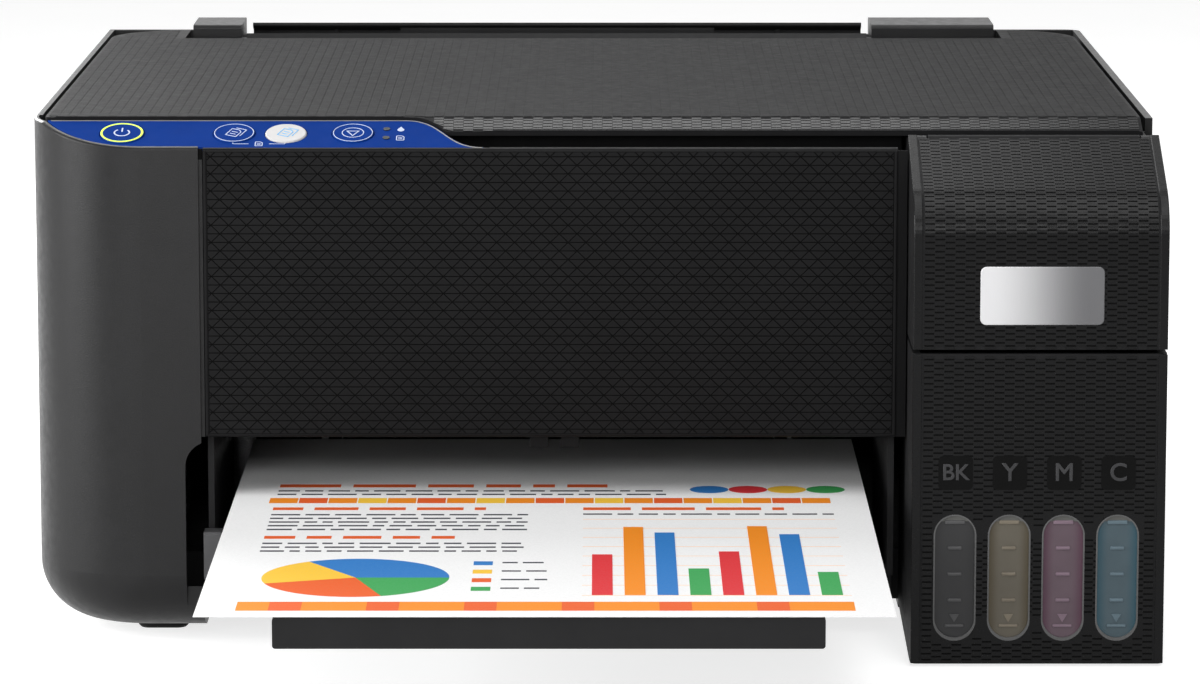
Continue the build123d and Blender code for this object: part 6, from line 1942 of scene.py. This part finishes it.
@dataclass
class Fasteners(Assembly):
    """Cross-headed screws in the back and underneath."""

    radius: float = 3.0
    height: float = 0.7
    cross: float = 1.7
    slot_width: float = 0.55
    slot_floor: float = 0.1
    sunk: float = 0.1
    rear_inset: float = 8.0
    base_inset: Point = (66.0, 24.0)

    def screw(self, blank: Blank, place: Matrix) -> None:
        """Adds a screw head with a cross cut into it.

        Args:
            blank: mesh to add to.
            place: middle of the head's seat, its Z outwards.
        """
        w, r = self.slot_width / 2, self.cross
        plus = []
        for quarter in range(4):
            turn = Matrix.Rotation(-math.pi / 2 * quarter, 2)
            plus += [tuple(turn @ Vector(point)) for point in ((r, w), (r, 0.0), (r, -w), (w, -w))]
        plus.reverse()
        outer = [(self.radius * x / math.hypot(x, y), self.radius * y / math.hypot(x, y)) for x, y in plus]
        blank.band(outer, plus, self.height, place)
        blank.slab(plus, self.slot_floor, place)

    def build(self) -> None:
        """Makes the screws on the rear cover and under the base."""
        low, high = (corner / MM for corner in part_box("rear_cover"))
        back = Matrix.Rotation(math.pi, 4, "Z") @ facing(0.0, 0.0, 0.0)
        rear = Blank()
        for x in (low.x + self.rear_inset, high.x - self.rear_inset):
            for z in (low.z + self.rear_inset, high.z - self.rear_inset):
                self.screw(rear, Matrix.Translation((x, high.y - self.sunk, z)) @ back)
        rear.finish("rear_screws", self.dressed(Tone.STEEL), "chassis", "steel")
        low, high = (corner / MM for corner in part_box("base_frame"))
        across, along = self.base_inset
        under = Blank()
        for x in (low.x + across, 0.0, high.x - across):
            for y in (low.y + along, high.y - along):
                place = Matrix.Translation((x, y, low.z + self.sunk)) @ Matrix.Rotation(math.pi, 4, "X")
                self.screw(under, place)
        under.finish("base_screws", self.dressed(Tone.STEEL), "chassis", "steel")


@dataclass(frozen=True)
class SoftLamp:
    """Area lamp, its lengths in metres and its power in watts."""

    name: str
    place: Triple
    target: Triple
    size: Point
    power: float

    def build(self) -> None:
        """Makes the lamp and points it at its target."""
        data = bpy.data.lights.new(self.name, "AREA")
        data.shape = "RECTANGLE"
        data.size, data.size_y = self.size
        data.energy = self.power
        lamp = bpy.data.objects.new(self.name, data)
        aim = Vector(self.target) - Vector(self.place)
        lamp.matrix_world = Matrix.Translation(self.place) @ aim.to_track_quat("-Z", "Y").to_matrix().to_4x4()
        bpy.context.scene.collection.objects.link(lamp)


LAMPS = (
    SoftLamp("lamp_back", (-0.2, 1.1, 1.3), (0.0, 0.0, 0.16), (0.9, 0.9), 8.0),
    SoftLamp("lamp_low_back", (-0.6, 0.95, 0.5), (0.0, 0.0, 0.17), (0.4, 0.4), 10.0),
    SoftLamp("lamp_left", (-1.5, -0.45, 0.5), (0.0, 0.0, 0.1), (0.9, 0.9), 26.0),
    SoftLamp("lamp_front", (-0.1, -1.05, 0.45), (0.0, -0.1, 0.06), (0.8, 0.22), 3.6),
    SoftLamp("lamp_low_front", (-0.45, -1.25, 0.24), (0.0, -0.1, 0.07), (0.45, 0.25), 2.0),
    SoftLamp("lamp_crown", (0.25, -0.6, 1.5), (0.15, -0.08, 0.15), (0.4, 1.9), 11.0),
)


@dataclass
class Studio:
    """Pale floor, soft lamps, white surround and the camera."""

    camera_place: Triple = (2.5, -1842.1, 392.5)
    pitch: float = math.radians(9.236)
    lens: float = 163.2
    sensor: float = 36.0
    world_light: float = 0.2
    floor_size: float = 14.0
    floor_glow: float = 0.76
    floor_grain_mm: float = 40.0
    floor_tones: Shades = ((0.5, 0.5, 0.5), (0.53, 0.53, 0.53))

    def build(self) -> None:
        """Makes the whole studio."""
        self.build_world()
        self.build_floor()
        for lamp in LAMPS:
            lamp.build()
        self.build_camera()

    def shown(self, tree: bpy.types.NodeTree, low: float, high: float) -> Socket:
        """Strength that differs between rays that show the background and rays that light the object.

        Args:
            tree: node tree to add to.
            low: strength for rays that light.
            high: strength for rays that show it, straight, mirrored or through glass.

        Returns:
            The strength socket.
        """
        path = tree.nodes.new("ShaderNodeLightPath")
        seen = path.outputs["Is Camera Ray"]
        for kind in ("Is Glossy Ray", "Is Transmission Ray"):
            either = tree.nodes.new("ShaderNodeMath")
            either.operation = "MAXIMUM"
            tree.links.new(seen, either.inputs[0])
            tree.links.new(path.outputs[kind], either.inputs[1])
            seen = either.outputs["Value"]
        strength = tree.nodes.new("ShaderNodeMapRange")
        strength.inputs["To Min"].default_value = low
        strength.inputs["To Max"].default_value = high
        tree.links.new(seen, strength.inputs["Value"])
        return strength.outputs["Result"]

    def build_world(self) -> None:
        """Makes a world that shows white and lights softly."""
        world = bpy.data.worlds.new("studio")
        world.use_nodes = True
        ground = world.node_tree.nodes["Background"]
        ground.inputs["Color"].default_value = (1.0, 1.0, 1.0, 1.0)
        strength = self.shown(world.node_tree, self.world_light, 1.0)
        world.node_tree.links.new(strength, ground.inputs["Strength"])
        bpy.context.scene.world = world

    def build_floor(self) -> None:
        """Makes the pale floor, which shows near white and keeps the shadow."""
        bm = bmesh.new()
        bmesh.ops.create_grid(bm, x_segments=1, y_segments=1, size=self.floor_size / 2)
        mesh = bpy.data.meshes.new("floor")
        bm.to_mesh(mesh)
        bm.free()
        floor = bpy.data.objects.new("floor", mesh)
        bpy.context.scene.collection.objects.link(floor)
        graph = ShaderGraph("floor_paint")
        graph.fix(Specular_IOR_Level=0.1, Roughness=0.8, Emission_Color=(1.0, 1.0, 1.0, 1.0))
        flecks = graph.spread(graph.noise(self.floor_grain_mm, detail=3.0))
        graph.paint(graph.blend(flecks, *self.floor_tones))
        strength = self.shown(graph.material.node_tree, 0.0, self.floor_glow)
        graph.links.new(strength, graph.shader.inputs["Emission Strength"])
        mesh.materials.append(graph.material)

    def build_camera(self) -> None:
        """Makes the camera at the photograph's angle."""
        data = bpy.data.cameras.new("camera")
        data.lens = self.lens
        data.sensor_width = self.sensor
        data.sensor_fit = "HORIZONTAL"
        camera = bpy.data.objects.new("camera", data)
        camera.location = Vector(self.camera_place) * MM
        camera.rotation_euler = (math.pi / 2 - self.pitch, 0.0, 0.0)
        bpy.context.scene.collection.objects.link(camera)
        bpy.context.scene.camera = camera


def main() -> None:
    """Loads the frame, dresses it, and adds the pieces and the studio."""
    logging.basicConfig(level=logging.INFO, format="%(name)s: %(message)s")
    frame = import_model()
    bpy.context.scene.view_settings.view_transform = "Standard"
    book = FinishBook()
    dress_nodes(frame["nodes"], book)
    for assembly in (FrontPanel, TankUnit, ScanLid, ControlPanel, PrintedPage, Fasteners):
        assembly(book).build()
    Studio().build()


if __name__ == "__main__":
    main()
